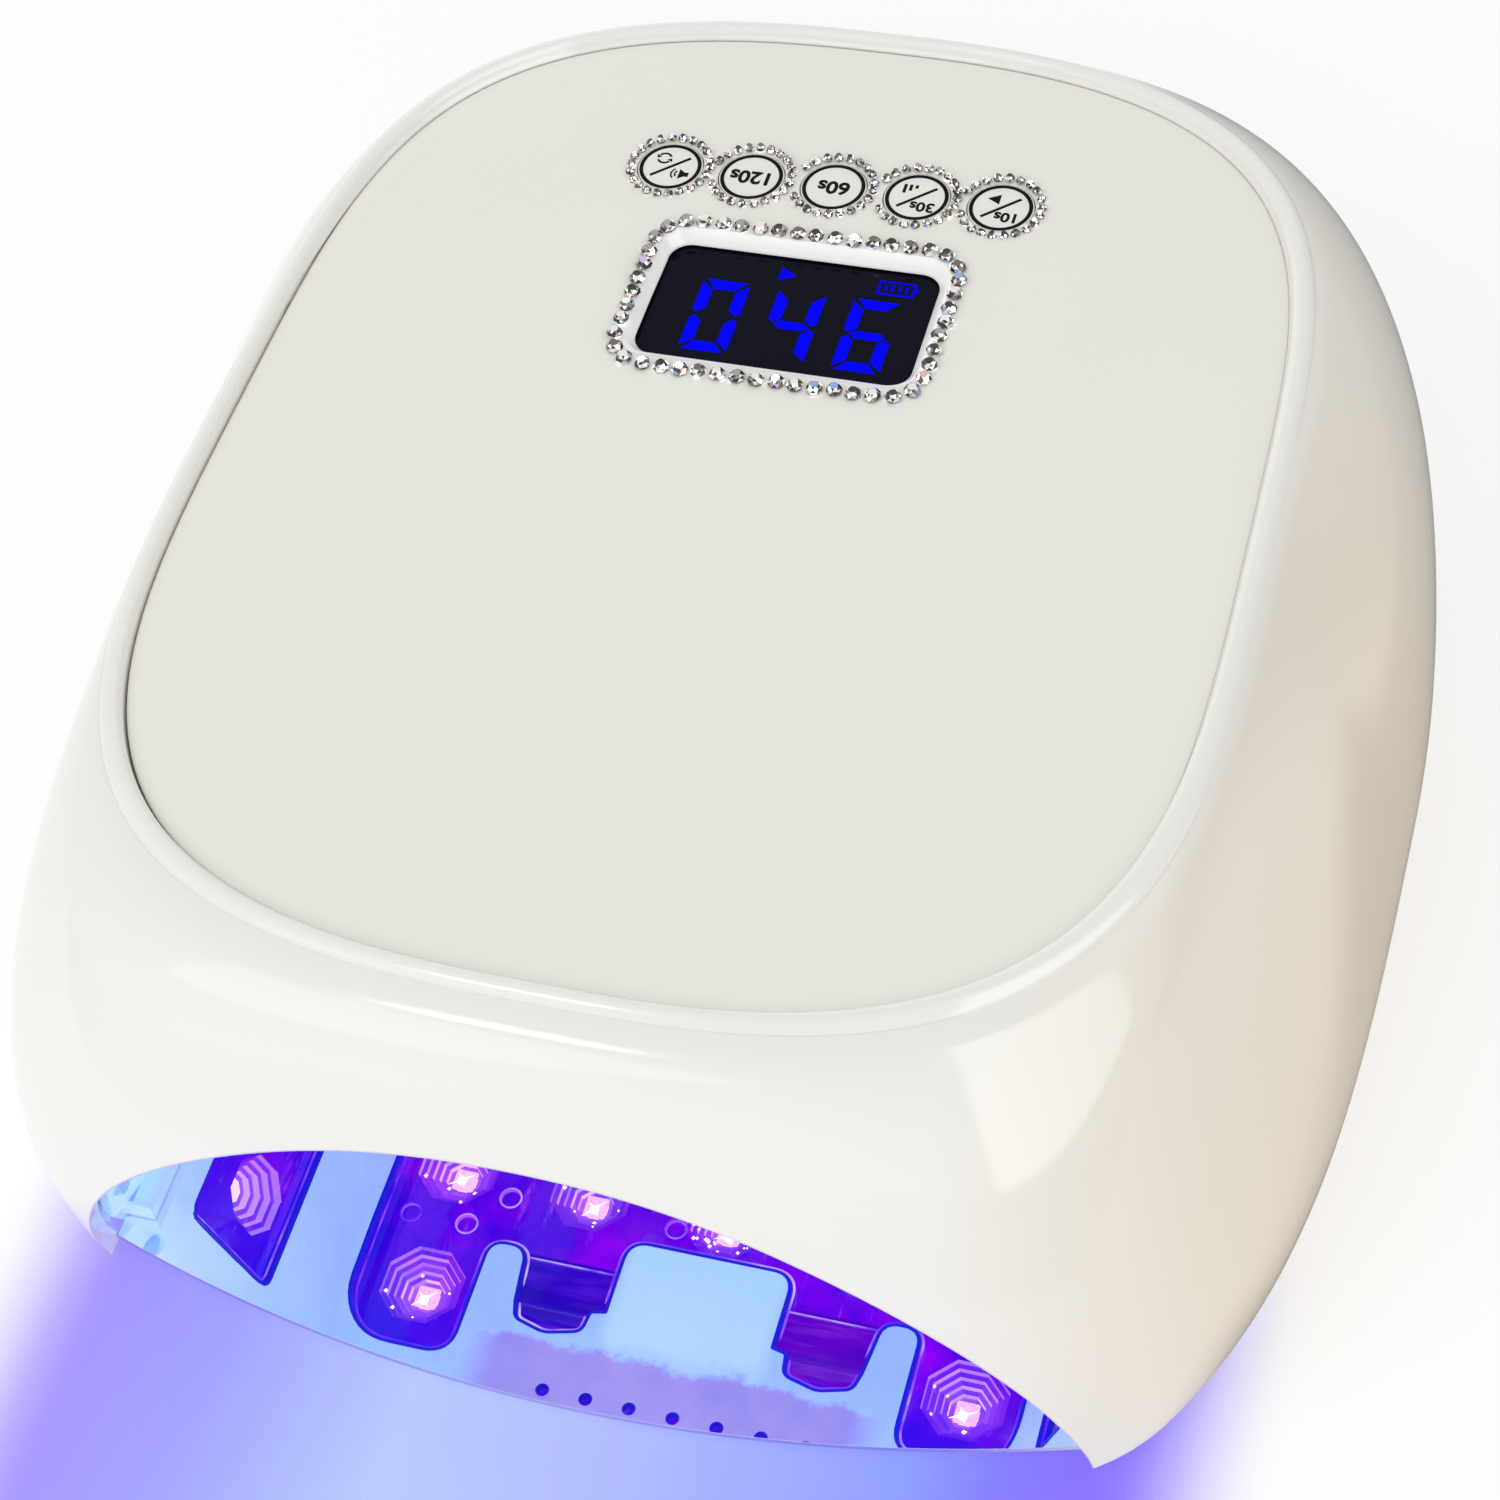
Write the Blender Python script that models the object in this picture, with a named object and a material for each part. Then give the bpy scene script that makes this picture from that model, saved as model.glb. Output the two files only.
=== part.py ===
"""Cordless UV LED nail lamp, modelled as a bench assembly.

Frame: metres, +Z up, +X to the right seen from the hand opening, the hand opening faces -Y.
The origin lies on the table under the middle of the lamp's overall box, on the plane of symmetry.
All dimensions below are in millimetres. They count y from the front edge line of the two front
feet, ORIGIN_Y in front of the origin; make() shifts them, and MM turns them into metres.
Meshes are built as bmeshes; cut() and join() add live booleans with helper objects.
"""
import math

import bmesh
import bpy
from mathutils import Vector

for old in list(bpy.data.objects):
    bpy.data.objects.remove(old, do_unlink=True)

MM = 0.001
ORIGIN_Y = 109.85          # distance from the front feet line to the origin
SIDES = (("left", -1), ("right", 1))    # name, sign of x

# ---------------------------------------------------------------- driving dimensions (mm)
GAP = 0.3                  # clearance between neighbouring pieces

BODY_HALF_W = 103.0        # widest line of the housing
BODY_Y_FRONT = -8.0
BODY_Y_BACK = 226.0
WAIST_Z = 20.0             # height of the widest line
RIM_Z = 1.0                # bottom rim of the housing
WALL = 2.4
CENTRE_Y = 108.0           # centre the outlines are drawn round

PANEL_HALF_W = 76.7
PANEL_Y_FRONT = 16.0
PANEL_Y_BACK = 199.5
PANEL_Z = 80.6             # crown of the top panel
PANEL_CROWN = 0.00022      # fall of the panel towards front and back, per mm squared
PANEL_T = 2.2
DECK_TOP = 75.8            # deck of the housing under the panel
DECK_T = 2.0

ARCH_HALF_W = 76.0         # hand opening in the housing
ARCH_H = 62.0
ARCH_POWERS = (2.2, 2.1)   # superellipse exponents in x and z

BUTTON_Y = 166.5
BUTTON_PITCH = 13.35
BUTTONS = ("mode", "120s", "60s", "30s", "10s")
BUTTON_X = [BUTTON_PITCH * (i - 2) for i in range(5)]

DISPLAY_Y = 140.0
DISPLAY_HALF_X, DISPLAY_HALF_Y = 21.2, 12.2

CONTROL_Z = 69.0           # underside of the control board
CONTROL_TOP = CONTROL_Z + 1.6
CONTROL_Y = 149.0          # middle of the control board
BOARD_POSTS = [(x, CONTROL_Y + dy) for dy in (-21.0, 21.0) for x in (-43.0, 43.0)]

CEILING_Z = 57.0           # ceiling of the hand cavity
LINER_T = 2.0
LENS_Z = CEILING_Z + LINER_T + GAP
CUP_TOP = 65.0
LED_BOARD_Z = CUP_TOP + GAP

REAR_Z = 20.0              # height of the socket and the switch in the back wall
JACK_X, SWITCH_X = 24.0, -24.0

PLATE_Z = 1.5              # slide-out base plate
PLATE_T = 1.0
PLATE_HALF_W = 74.0
PLATE_CLEAR_Z = PLATE_Z + PLATE_T + GAP

FRAME_POSTS = [(-89.8, 34.0), (89.8, 34.0), (-88.0, 152.0), (88.0, 152.0)]


# ---------------------------------------------------------------- materials
def material(name, colour, roughness, metallic=0.0, transmission=0.0, emission=None, strength=0.0):
    mat = bpy.data.materials.new(name)
    mat.use_nodes = True
    inputs = mat.node_tree.nodes["Principled BSDF"].inputs
    inputs["Base Color"].default_value = (*colour, 1.0)
    inputs["Roughness"].default_value = roughness
    inputs["Metallic"].default_value = metallic
    inputs["Transmission Weight"].default_value = transmission
    if emission:
        inputs["Emission Color"].default_value = (*emission, 1.0)
        inputs["Emission Strength"].default_value = strength
    mat.diffuse_color = (*colour, 1.0)
    return mat


WARM_WHITE = (0.86, 0.84, 0.80)
PANEL_WHITE = (0.80, 0.79, 0.76)

housing_white = material("warm_white_gloss", WARM_WHITE, roughness=0.12)
panel_white = material("panel_white_gloss", PANEL_WHITE, roughness=0.10)
button_white = material("button_white", PANEL_WHITE, roughness=0.12)
liner_white = material("liner_white", (0.45, 0.60, 0.95), roughness=0.35)
frame_white = material("frame_white", (0.72, 0.71, 0.69), roughness=0.35)
smoked_lens = material("smoked_lens", (0.006, 0.007, 0.018), roughness=0.04)
digit_module = material("digit_module", (0.01, 0.01, 0.02), roughness=0.3)
crystal = material("crystal", (0.92, 0.93, 0.97), roughness=0.03, transmission=0.6)
steel = material("switch_metal", (0.55, 0.55, 0.56), roughness=0.35, metallic=1.0)
mirror_steel = material("mirror_steel", (0.9, 0.9, 0.92), roughness=0.03, metallic=1.0)
black_plastic = material("black_plastic", (0.02, 0.02, 0.02), roughness=0.4)
lead_black = material("lead_black", (0.015, 0.015, 0.015), roughness=0.5)
rubber = material("foot_rubber", (0.03, 0.03, 0.03), roughness=0.8)
cell_wrap = material("cell_wrap", (0.05, 0.25, 0.45), roughness=0.35)
board_green = material("circuit_board", (0.02, 0.16, 0.06), roughness=0.4)
board_white = material("led_board_white", (0.75, 0.75, 0.78), roughness=0.35, metallic=0.3)
lens_violet = material(
    "lens_violet", (0.25, 0.05, 0.9), roughness=0.06, transmission=0.5,
    emission=(0.25, 0.05, 1.0), strength=1.0,
)


# ---------------------------------------------------------------- objects and booleans
def make(name, bm, mat, smooth_deg=None, origin=(0.0, 0.0, 0.0)):
    """Turn a bmesh in millimetres into an object in metres whose origin is at `origin` (mm)."""
    bmesh.ops.recalc_face_normals(bm, faces=bm.faces[:])
    if bm.calc_volume(signed=True) < 0.0:
        bmesh.ops.reverse_faces(bm, faces=bm.faces[:])
    offset = Vector(origin)
    for v in bm.verts:
        v.co = (v.co - offset) * MM
    offset.y -= ORIGIN_Y
    mesh = bpy.data.meshes.new(name)
    bm.to_mesh(mesh)
    bm.free()
    if smooth_deg is not None:
        mesh.shade_smooth()
        mesh.set_sharp_from_angle(angle=math.radians(smooth_deg))
    ob = bpy.data.objects.new(name, mesh)
    ob.location = offset * MM
    bpy.context.scene.collection.objects.link(ob)
    if mat is not None:
        mesh.materials.append(mat)
    return ob


def boolean(target, name, bm, operation):
    """Make `bm` a hidden helper called `name` and apply it to the target by a live modifier."""
    helper = make(name, bm, None)
    helper.hide_render = True
    helper.display_type = "WIRE"
    modifier = target.modifiers.new(operation.lower() + "_" + name, "BOOLEAN")
    modifier.operation = operation
    modifier.solver = "EXACT"
    modifier.object = helper


def cut(target, name, bm):
    boolean(target, name, bm, "DIFFERENCE")


def join(target, name, bm):
    boolean(target, name, bm, "UNION")


# ---------------------------------------------------------------- outlines
def circle(cx, cy, r, sides, start=0.0):
    angles = [start + 2 * math.pi * i / sides for i in range(sides)]
    return [(cx + r * math.cos(a), cy + r * math.sin(a)) for a in angles]


def octagon(cx, cy, r):
    return circle(cx, cy, r, 8, math.pi / 8)


def round_rect(cx, cy, hx, hy, r, corner_points):
    """Rounded rectangle with half sizes hx and hy and corner radius r."""
    points = []
    for sx, sy, start in ((1, 1, 0), (-1, 1, 90), (-1, -1, 180), (1, -1, 270)):
        for k in range(corner_points):
            a = math.radians(start + 90.0 * k / (corner_points - 1))
            points.append((cx + sx * (hx - r) + r * math.cos(a),
                           cy + sy * (hy - r) + r * math.sin(a)))
    return points


def mirrored(half):
    """The points followed by their mirror image in x, in reverse order."""
    return half + [(-x, other) for x, other in reversed(half)]


# ---------------------------------------------------------------- solids
# Each returns the bmesh it fills: the one passed as `bm`, or a new one.
def loft(rings, bm=None, torus=False):
    """Skin rings of equal point counts. torus joins the last to the first, else ends are capped."""
    bm = bmesh.new() if bm is None else bm
    rows = [[bm.verts.new(p) for p in ring] for ring in rings]
    n = len(rows[0])
    pairs = list(zip(rows, rows[1:]))
    if torus:
        pairs.append((rows[-1], rows[0]))
    for row, following in pairs:
        for i in range(n):
            j = (i + 1) % n
            bm.faces.new((row[i], row[j], following[j], following[i]))
    if not torus:
        bm.faces.new(rows[0])
        bm.faces.new(list(reversed(rows[-1])))
    return bm


def prism(outline, z0, z1, bm=None):
    return loft([[(x, y, z) for x, y in outline] for z in (z0, z1)], bm)


def box(low, high, bm=None):
    x0, y0, z0 = low
    x1, y1, z1 = high
    return prism([(x0, y0), (x1, y0), (x1, y1), (x0, y1)], z0, z1, bm)


def turned(cx, cy, profile, sides):
    """Turned piece about a vertical axis: profile is [(radius, z), ...]."""
    return loft([[(x, y, z) for x, y in circle(cx, cy, r, sides)] for r, z in profile])


def turned_y(cx, cz, profile, sides):
    """Turned piece about an axis along y: profile is [(radius, y), ...]."""
    return loft([[(x, y, z) for x, z in circle(cx, cz, r, sides)] for r, y in profile])


def rod(start, end, r, sides):
    """Round bar between two points."""
    start, end = Vector(start), Vector(end)
    axis = (end - start).normalized()
    across = axis.orthogonal().normalized()
    third = axis.cross(across)
    angles = [2 * math.pi * i / sides for i in range(sides)]
    ring = [across * math.cos(a) + third * math.sin(a) for a in angles]
    return loft([[start + q * r for q in ring], [end + q * r for q in ring]])


CABLE_SIDES = 6
CABLE_STEPS = 3            # path steps between two given points


def cable(points, r):
    """Round lead through the given points (Catmull-Rom), ends capped."""
    knots = [Vector(p) for p in points]
    knots = [knots[0] * 2 - knots[1]] + knots + [knots[-1] * 2 - knots[-2]]
    path = []
    for i in range(1, len(knots) - 2):
        a, b, c, d = knots[i - 1:i + 3]
        for k in range(CABLE_STEPS):
            t = k / CABLE_STEPS
            path.append(
                0.5 * (2 * b + (c - a) * t + (2 * a - 5 * b + 4 * c - d) * t * t
                       + (3 * b - a - 3 * c + d) * t ** 3)
            )
    path.append(knots[-2])
    rings = []
    across = None
    for i, p in enumerate(path):
        axis = (path[min(i + 1, len(path) - 1)] - path[max(i - 1, 0)]).normalized()
        if across is None:
            across = axis.orthogonal().normalized()
        else:
            across = (across - axis * across.dot(axis)).normalized()
        third = axis.cross(across)
        angles = [2 * math.pi * k / CABLE_SIDES for k in range(CABLE_SIDES)]
        rings.append([p + across * r * math.cos(a) + third * r * math.sin(a) for a in angles])
    return loft(rings)


SCREW_HEAD_R = 2.6


def screw_up(name, x, y, z_head, length, r):
    """Pan-head screw driven upwards; z_head is the seat of its head."""
    profile = [(SCREW_HEAD_R * 0.75, z_head - 1.6), (SCREW_HEAD_R, z_head - 1.0),
               (SCREW_HEAD_R, z_head), (r, z_head),
               (r, z_head + length - 1.0), (r * 0.4, z_head + length)]
    make(name, turned(x, y, profile, 9), steel, 35)


# ---------------------------------------------------------------- outlines of the body
# Angles are plan directions from (0, CENTRE_Y), counted from +X towards +Y.
BISECTIONS = 44


def outline_point(angle, half_w, front, back, front_powers, back_powers, taper=0.0):
    """Point of a superellipse outline with its own depth and exponents (x, y) front and back.

    taper narrows it towards the back and widens it towards the front.
    """
    cos_a, sin_a = math.cos(angle), math.sin(angle)
    depth, (x_power, y_power) = (back, back_powers) if sin_a >= 0 else (front, front_powers)
    low, high = 0.0, 2.0 * max(half_w, front, back)
    for _ in range(BISECTIONS):
        reach = 0.5 * (low + high)
        if abs(reach * cos_a / half_w) ** x_power + abs(reach * sin_a / depth) ** y_power < 1.0:
            low = reach
        else:
            high = reach
    x, y = reach * cos_a, reach * sin_a
    return x * (1.0 - taper * y / depth), y + CENTRE_Y


def panel_edge(angle, grow=0.0):
    return outline_point(
        angle,
        half_w=PANEL_HALF_W + grow,
        front=CENTRE_Y - PANEL_Y_FRONT + grow,
        back=PANEL_Y_BACK - CENTRE_Y + grow,
        front_powers=(2.8, 3.75),
        back_powers=(2.63, 3.88),
        taper=0.02,
    )


def waist_edge(angle, grow=0.0):
    return outline_point(
        angle,
        half_w=BODY_HALF_W + grow,
        front=CENTRE_Y - BODY_Y_FRONT + grow,
        back=BODY_Y_BACK - CENTRE_Y + grow,
        front_powers=(4.5, 5.0),
        back_powers=(2.6, 2.8),
    )


def panel_z(y):
    """Height of the crowned top of the panel."""
    return PANEL_Z - PANEL_CROWN * (y - CENTRE_Y) ** 2


DISPLAY_Z = panel_z(DISPLAY_Y)
BUTTON_Z = panel_z(BUTTON_Y)


def smoothstep(start, end, value):
    t = min(1.0, max(0.0, (value - start) / (end - start)))
    return t * t * (3 - 2 * t)


def degrees_from_front(angle):
    return abs(math.degrees(math.atan2(math.cos(angle), -math.sin(angle))))


def directions(count):
    return [2 * math.pi * (i + 0.5) / count for i in range(count)]


# ---------------------------------------------------------------- 1 housing shell
HOUSING_SEGMENTS = 60
OUTER_WALL_STEPS = 6
INNER_WALL_STEPS = 4
# Panel recess and lip: (growth of the panel edge, height above the panel top)
LIP_PROFILE = (
    (-3.0, -PANEL_T - GAP),
    (GAP, -PANEL_T - GAP),
    (GAP, 1.4),
    (1.0, 2.1),
    (2.4, 2.1),
    (3.2, 1.25),
)
LEDGE_GROW = -3.3          # where the deck meets the recess, from the panel edge
# Opening in the deck under the display and the buttons
DECK_HOLE_HALF_X, DECK_HOLE_HALF_Y, DECK_HOLE_POWER = 37.0, 27.0, 8


def frontness(angle):
    """1 straight ahead at the hand opening, 0 at the sides and the back."""
    return 1.0 - smoothstep(18.0, 62.0, degrees_from_front(angle))


def wall_point(angle, down, inner=False):
    """Point of the side wall, down = 0 under the lip, down = 1 at the widest line."""
    weight = frontness(angle)
    # exponents of the wall's bulge; the front bulges differently from the sides
    drop_power = 1.5 + 0.7 * weight
    spread_power = 1.0 + 1.2 * weight
    if inner:
        x0, y0 = panel_edge(angle, 0.9)
        z0 = DECK_TOP - DECK_T
        x1, y1 = waist_edge(angle, -WALL)
    else:
        x0, y0 = panel_edge(angle, 3.35)
        z0 = panel_z(y0) + 0.2 + 0.7 * weight
        x1, y1 = waist_edge(angle)
    out = (1.0 - (1.0 - down) ** drop_power) ** (1.0 / spread_power)
    return x0 + (x1 - x0) * out, y0 + (y1 - y0) * out, z0 + (WAIST_Z - z0) * down


def foot_inset(angle):
    """How far the bottom rim lies inside the widest line: 1.5 in front, 5 elsewhere."""
    return 1.5 + 3.5 * smoothstep(33.0, 55.0, degrees_from_front(angle))


def under_point(angle, down, inner=False):
    """Point below the widest line, where the wall curves in to the bottom rim."""
    x, y = waist_edge(angle, -foot_inset(angle) * down * down - (WALL if inner else 0.0))
    return x, y, WAIST_Z + (RIM_Z - WAIST_Z) * down


def deck_hole_point(angle):
    cos_a, sin_a = math.cos(angle), math.sin(angle)
    reach = (
        abs(cos_a / DECK_HOLE_HALF_X) ** DECK_HOLE_POWER
        + abs(sin_a / DECK_HOLE_HALF_Y) ** DECK_HOLE_POWER
    ) ** (-1.0 / DECK_HOLE_POWER)
    return reach * cos_a, CONTROL_Y + reach * sin_a


def housing_shell():
    """Closed skin: recess, lip, outer wall, rim, inner wall, deck and back to the recess."""
    angles = directions(HOUSING_SEGMENTS)
    rings = []
    for grow, dz in LIP_PROFILE:
        edge = [panel_edge(a, grow) for a in angles]
        rings.append([(x, y, panel_z(y) + dz) for x, y in edge])
    for k in range(OUTER_WALL_STEPS + 1):
        eased = 1.0 - math.cos(0.5 * math.pi * k / OUTER_WALL_STEPS)
        down = 0.5 * eased + 0.5 * k / OUTER_WALL_STEPS
        rings.append([wall_point(a, down) for a in angles])
    for down in (0.4, 0.75, 1.0):
        rings.append([under_point(a, down) for a in angles])
    for down in (1.0, 0.5):
        rings.append([under_point(a, down, inner=True) for a in angles])
    for k in range(INNER_WALL_STEPS, -1, -1):
        even = k / INNER_WALL_STEPS
        down = 0.5 * even * even + 0.5 * even
        rings.append([wall_point(a, down, inner=True) for a in angles])
    hole = [deck_hole_point(a) for a in angles]
    for z in (DECK_TOP - DECK_T, DECK_TOP):
        rings.append([(x, y, z) for x, y in hole])
    rings.append([(*panel_edge(a, LEDGE_GROW), DECK_TOP) for a in angles])
    return loft(rings, torus=True)


def arch_outline(count=40, foot=-6.0):
    """Outline (x, z) of the hand opening, right to left, with feet below the table."""
    x_power, z_power = ARCH_POWERS
    curve = []
    for i in range(1, count):
        a = math.pi * i / count
        cos_a, sin_a = math.cos(a), math.sin(a)
        curve.append((ARCH_HALF_W * math.copysign(abs(cos_a) ** (2 / x_power), cos_a),
                      ARCH_H * abs(sin_a) ** (2 / z_power)))
    right = [(ARCH_HALF_W, foot), (ARCH_HALF_W, 0.0)]
    left = [(-ARCH_HALF_W, 0.0), (-ARCH_HALF_W, foot)]
    return right + curve + left


def cut_wall_openings(housing):
    """Hand opening in front, socket and switch openings in the back wall."""
    arch = arch_outline()
    cut(housing, "cut_arch", loft([[(x, y, z) for x, z in arch] for y in (-40.0, 11.0)]))
    y0, y1 = 205.0, 240.0
    cut(housing, "cut_jack", rod((JACK_X, y0, REAR_Z), (JACK_X, y1, REAR_Z), 4.6, 24))
    hx, hz = 9.8, 6.6
    cut(housing, "cut_switch",
        box((SWITCH_X - hx, y0, REAR_Z - hz), (SWITCH_X + hx, y1, REAR_Z + hz)))


FRAME_POST_REACH = (8.6, 8.6, 10.4, 10.4)    # outwards from the screw axis into the wall
FRAME_PILOT_SIDES = (10, 11, 12, 13)


def add_posts(housing):
    """Posts that hang from the deck over the control board and grow from the side walls."""
    for i, (x, y) in enumerate(BOARD_POSTS):
        post = [(3.2, CONTROL_TOP + GAP), (3.2, DECK_TOP - 1.0)]
        join(housing, "post_board_%d" % i, turned(x, y, post, 16))
        pilot = [(1.3, CONTROL_Z), (1.3, DECK_TOP - 1.6)]
        cut(housing, "pilot_board_%d" % i, turned(x, y, pilot, 12))
    for i, ((x, y), reach) in enumerate(zip(FRAME_POSTS, FRAME_POST_REACH)):
        sx = 1 if x > 0 else -1
        near, far = x - sx * 3.6, x + sx * reach
        outline = [(near, y - 3.6), (far, y - 4.2), (far, y + 4.2), (near, y + 3.6)]
        join(housing, "post_frame_%d" % i, prism(outline, 5.6, 24.0))
    for i, ((x, y), sides) in enumerate(zip(FRAME_POSTS, FRAME_PILOT_SIDES)):
        cut(housing, "pilot_frame_%d" % i, turned(x, y, [(1.5, 3.3), (1.5, 17.7)], sides))


housing = make("top_housing", housing_shell(), housing_white, 35)
cut_wall_openings(housing)
add_posts(housing)

# ---------------------------------------------------------------- 2 top panel
PANEL_SEGMENTS = 56
PANEL_RINGS = (0.5, 0.8)   # inner rings as fractions of the edge
PANEL_BEVEL = 0.35
DISPLAY_FLARE = 1.5        # widening of the display opening at the top of the panel
DISPLAY_R = 3.4
BUTTON_HOLE_R = 5.35


def panel_sheet():
    angles = directions(PANEL_SEGMENTS)
    edge = [panel_edge(a) for a in angles]
    inside = [[(x * f, CENTRE_Y + (y - CENTRE_Y) * f) for x, y in edge] for f in PANEL_RINGS]
    bevel = [panel_edge(a, -PANEL_BEVEL) for a in angles]
    levels = [(ring, 0.0) for ring in inside + [bevel]]
    levels += [(edge, PANEL_BEVEL), (edge, PANEL_T)]
    levels += [(ring, PANEL_T) for ring in reversed(inside)]
    return loft([[(x, y, panel_z(y) - depth) for x, y in ring] for ring, depth in levels])


def display_opening():
    """Flared cutter: widest above the panel, straight below it."""
    levels = (
        (DISPLAY_FLARE + 0.9, DISPLAY_Z + 1.0),
        (DISPLAY_FLARE, DISPLAY_Z),
        (0.0, DISPLAY_Z - PANEL_T),
        (0.0, DISPLAY_Z - PANEL_T - 1.2),
    )
    rings = []
    for grow, z in levels:
        outline = round_rect(0, DISPLAY_Y, DISPLAY_HALF_X + grow, DISPLAY_HALF_Y + grow,
                             DISPLAY_R + grow * 0.8, 6)
        rings.append([(x, y, z) for x, y in outline])
    return loft(rings)


panel = make("top_panel", panel_sheet(), panel_white, 35)
cut(panel, "cut_display", display_opening())
for i, x in enumerate(BUTTON_X):
    hole = [(BUTTON_HOLE_R, BUTTON_Z - 6), (BUTTON_HOLE_R, BUTTON_Z + 3)]
    cut(panel, "cut_button_%d" % i, turned(x, BUTTON_Y, hole, 24))

# ---------------------------------------------------------------- 3 display window and digits
WINDOW_TOP = DISPLAY_Z - PANEL_T - GAP - 0.35
WINDOW_T = 1.2
WINDOW_OVERLAP = 1.8       # beyond the display opening on each side
DIGIT_HALF_X, DIGIT_HALF_Y = 21.5, 12.5

window = round_rect(0, DISPLAY_Y, DISPLAY_HALF_X + WINDOW_OVERLAP,
                    DISPLAY_HALF_Y + WINDOW_OVERLAP, 4.0, 6)
make("display_window", prism(window, WINDOW_TOP - WINDOW_T, WINDOW_TOP), smoked_lens, 35)
digits = box((-DIGIT_HALF_X, DISPLAY_Y - DIGIT_HALF_Y, CONTROL_TOP + GAP),
             (DIGIT_HALF_X, DISPLAY_Y + DIGIT_HALF_Y, WINDOW_TOP - WINDOW_T - GAP))
make("digit_display", digits, digit_module)

# ---------------------------------------------------------------- 4 crystal trims
BAND_T = 0.3               # clear carrier band under the stones
STONE_SINK = 0.1           # bottom of the stones above the bottom of the band
STONE_SIDES = 4
# Middle line of the display band: centre, half sizes, corner radius
TRIM_HALF_X, TRIM_HALF_Y, TRIM_R = 25.3, 15.6, 5.0
DISPLAY_BAND_HALF_W = 0.7
DISPLAY_STONES = 32
DISPLAY_STONE_R, DISPLAY_STONE_H = 1.25, 1.15
BUTTON_RING_R = 6.25
BUTTON_BAND_HALF_W = 0.62
BUTTON_STONES = 8
BUTTON_STONE_R, BUTTON_STONE_H = 0.82, 0.85
LINK_HALF_X, LINK_HALF_Y, LINK_INSET = 0.9, 1.4, 0.02


def band_z(y):
    return panel_z(y) + GAP


BUTTON_BAND_Z = band_z(BUTTON_Y)


def rounded_path(cx, cy, hx, hy, r, count):
    """Evenly spaced points clockwise along a rounded rectangle, from the top left."""
    quarter = 0.5 * math.pi * r
    along_x, along_y = 2 * (hx - r), 2 * (hy - r)
    total = 2 * (along_x + along_y) + 4 * quarter
    # straight length, its direction, centre of the corner after it, start angle of the corner
    legs = (
        (along_x, 1, 0, cx + hx - r, cy + hy - r, 90.0),
        (along_y, 0, -1, cx + hx - r, cy - hy + r, 0.0),
        (along_x, -1, 0, cx - hx + r, cy - hy + r, -90.0),
        (along_y, 0, 1, cx - hx + r, cy + hy - r, 180.0),
    )

    def point_at(distance):
        x, y = cx - (hx - r), cy + hy
        for length, dx, dy, corner_x, corner_y, start in legs:
            if distance <= length:
                break
            distance -= length
            turn = math.radians(start - 90.0 * min(distance / quarter, 1.0))
            x, y = corner_x + r * math.cos(turn), corner_y + r * math.sin(turn)
            if distance <= quarter:
                return x, y
            distance -= quarter
        return x + dx * distance, y + dy * distance

    return [point_at(total * (k + 0.5) / count) for k in range(count)]


def add_stone(bm, x, y, r, z, height):
    """Low faceted stone with a flat table."""
    levels = ((r, z), (r * 0.55, z + height))
    loft([[(px, py, pz) for px, py in circle(x, y, size, STONE_SIDES, 0.3)]
          for size, pz in levels], bm)


def carrier_band(inner, outer, height):
    """Flat band between two outlines; height(y) gives its underside."""
    levels = ((inner, 0.0), (outer, 0.0), (outer, BAND_T), (inner, BAND_T))
    return loft([[(x, y, height(y) + dz) for x, y in ring] for ring, dz in levels], torus=True)


def add_display_trim():
    def outline(grow):
        return round_rect(0, DISPLAY_Y, TRIM_HALF_X + grow, TRIM_HALF_Y + grow, TRIM_R + grow, 7)

    band = carrier_band(outline(-DISPLAY_BAND_HALF_W), outline(DISPLAY_BAND_HALF_W), band_z)
    trim = make("display_crystal_trim", band, crystal)
    stones = bmesh.new()
    path = rounded_path(0.0, DISPLAY_Y, TRIM_HALF_X, TRIM_HALF_Y, TRIM_R, DISPLAY_STONES)
    for x, y in path:
        add_stone(stones, x, y, DISPLAY_STONE_R, band_z(y) + STONE_SINK, DISPLAY_STONE_H)
    join(trim, "stones_display", stones)


def button_band(x):
    return carrier_band(
        circle(x, BUTTON_Y, BUTTON_RING_R - BUTTON_BAND_HALF_W, 16),
        circle(x, BUTTON_Y, BUTTON_RING_R + BUTTON_BAND_HALF_W, 16),
        lambda y: BUTTON_BAND_Z,
    )


def add_button_trim():
    """Chain of five flat rings, linked side by side, each with its ring of stones."""
    trim = make("button_crystal_trim", button_band(BUTTON_X[0]), crystal)
    for i, x in enumerate(BUTTON_X[1:], 1):
        join(trim, "band_%d" % i, button_band(x))
    links = bmesh.new()
    for left, right in zip(BUTTON_X, BUTTON_X[1:]):
        x = 0.5 * (left + right)
        box((x - LINK_HALF_X, BUTTON_Y - LINK_HALF_Y, BUTTON_BAND_Z + LINK_INSET),
            (x + LINK_HALF_X, BUTTON_Y + LINK_HALF_Y, BUTTON_BAND_Z + BAND_T - LINK_INSET), links)
    join(trim, "band_links", links)
    for i, centre in enumerate(BUTTON_X):
        stones = bmesh.new()
        for k in range(BUTTON_STONES):
            a = 2 * math.pi * (k + 0.5) / BUTTON_STONES
            x = centre + BUTTON_RING_R * math.cos(a)
            y = BUTTON_Y + BUTTON_RING_R * math.sin(a)
            add_stone(stones, x, y, BUTTON_STONE_R, BUTTON_BAND_Z + STONE_SINK, BUTTON_STONE_H)
        join(trim, "stones_%d" % i, stones)


add_display_trim()
add_button_trim()

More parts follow.
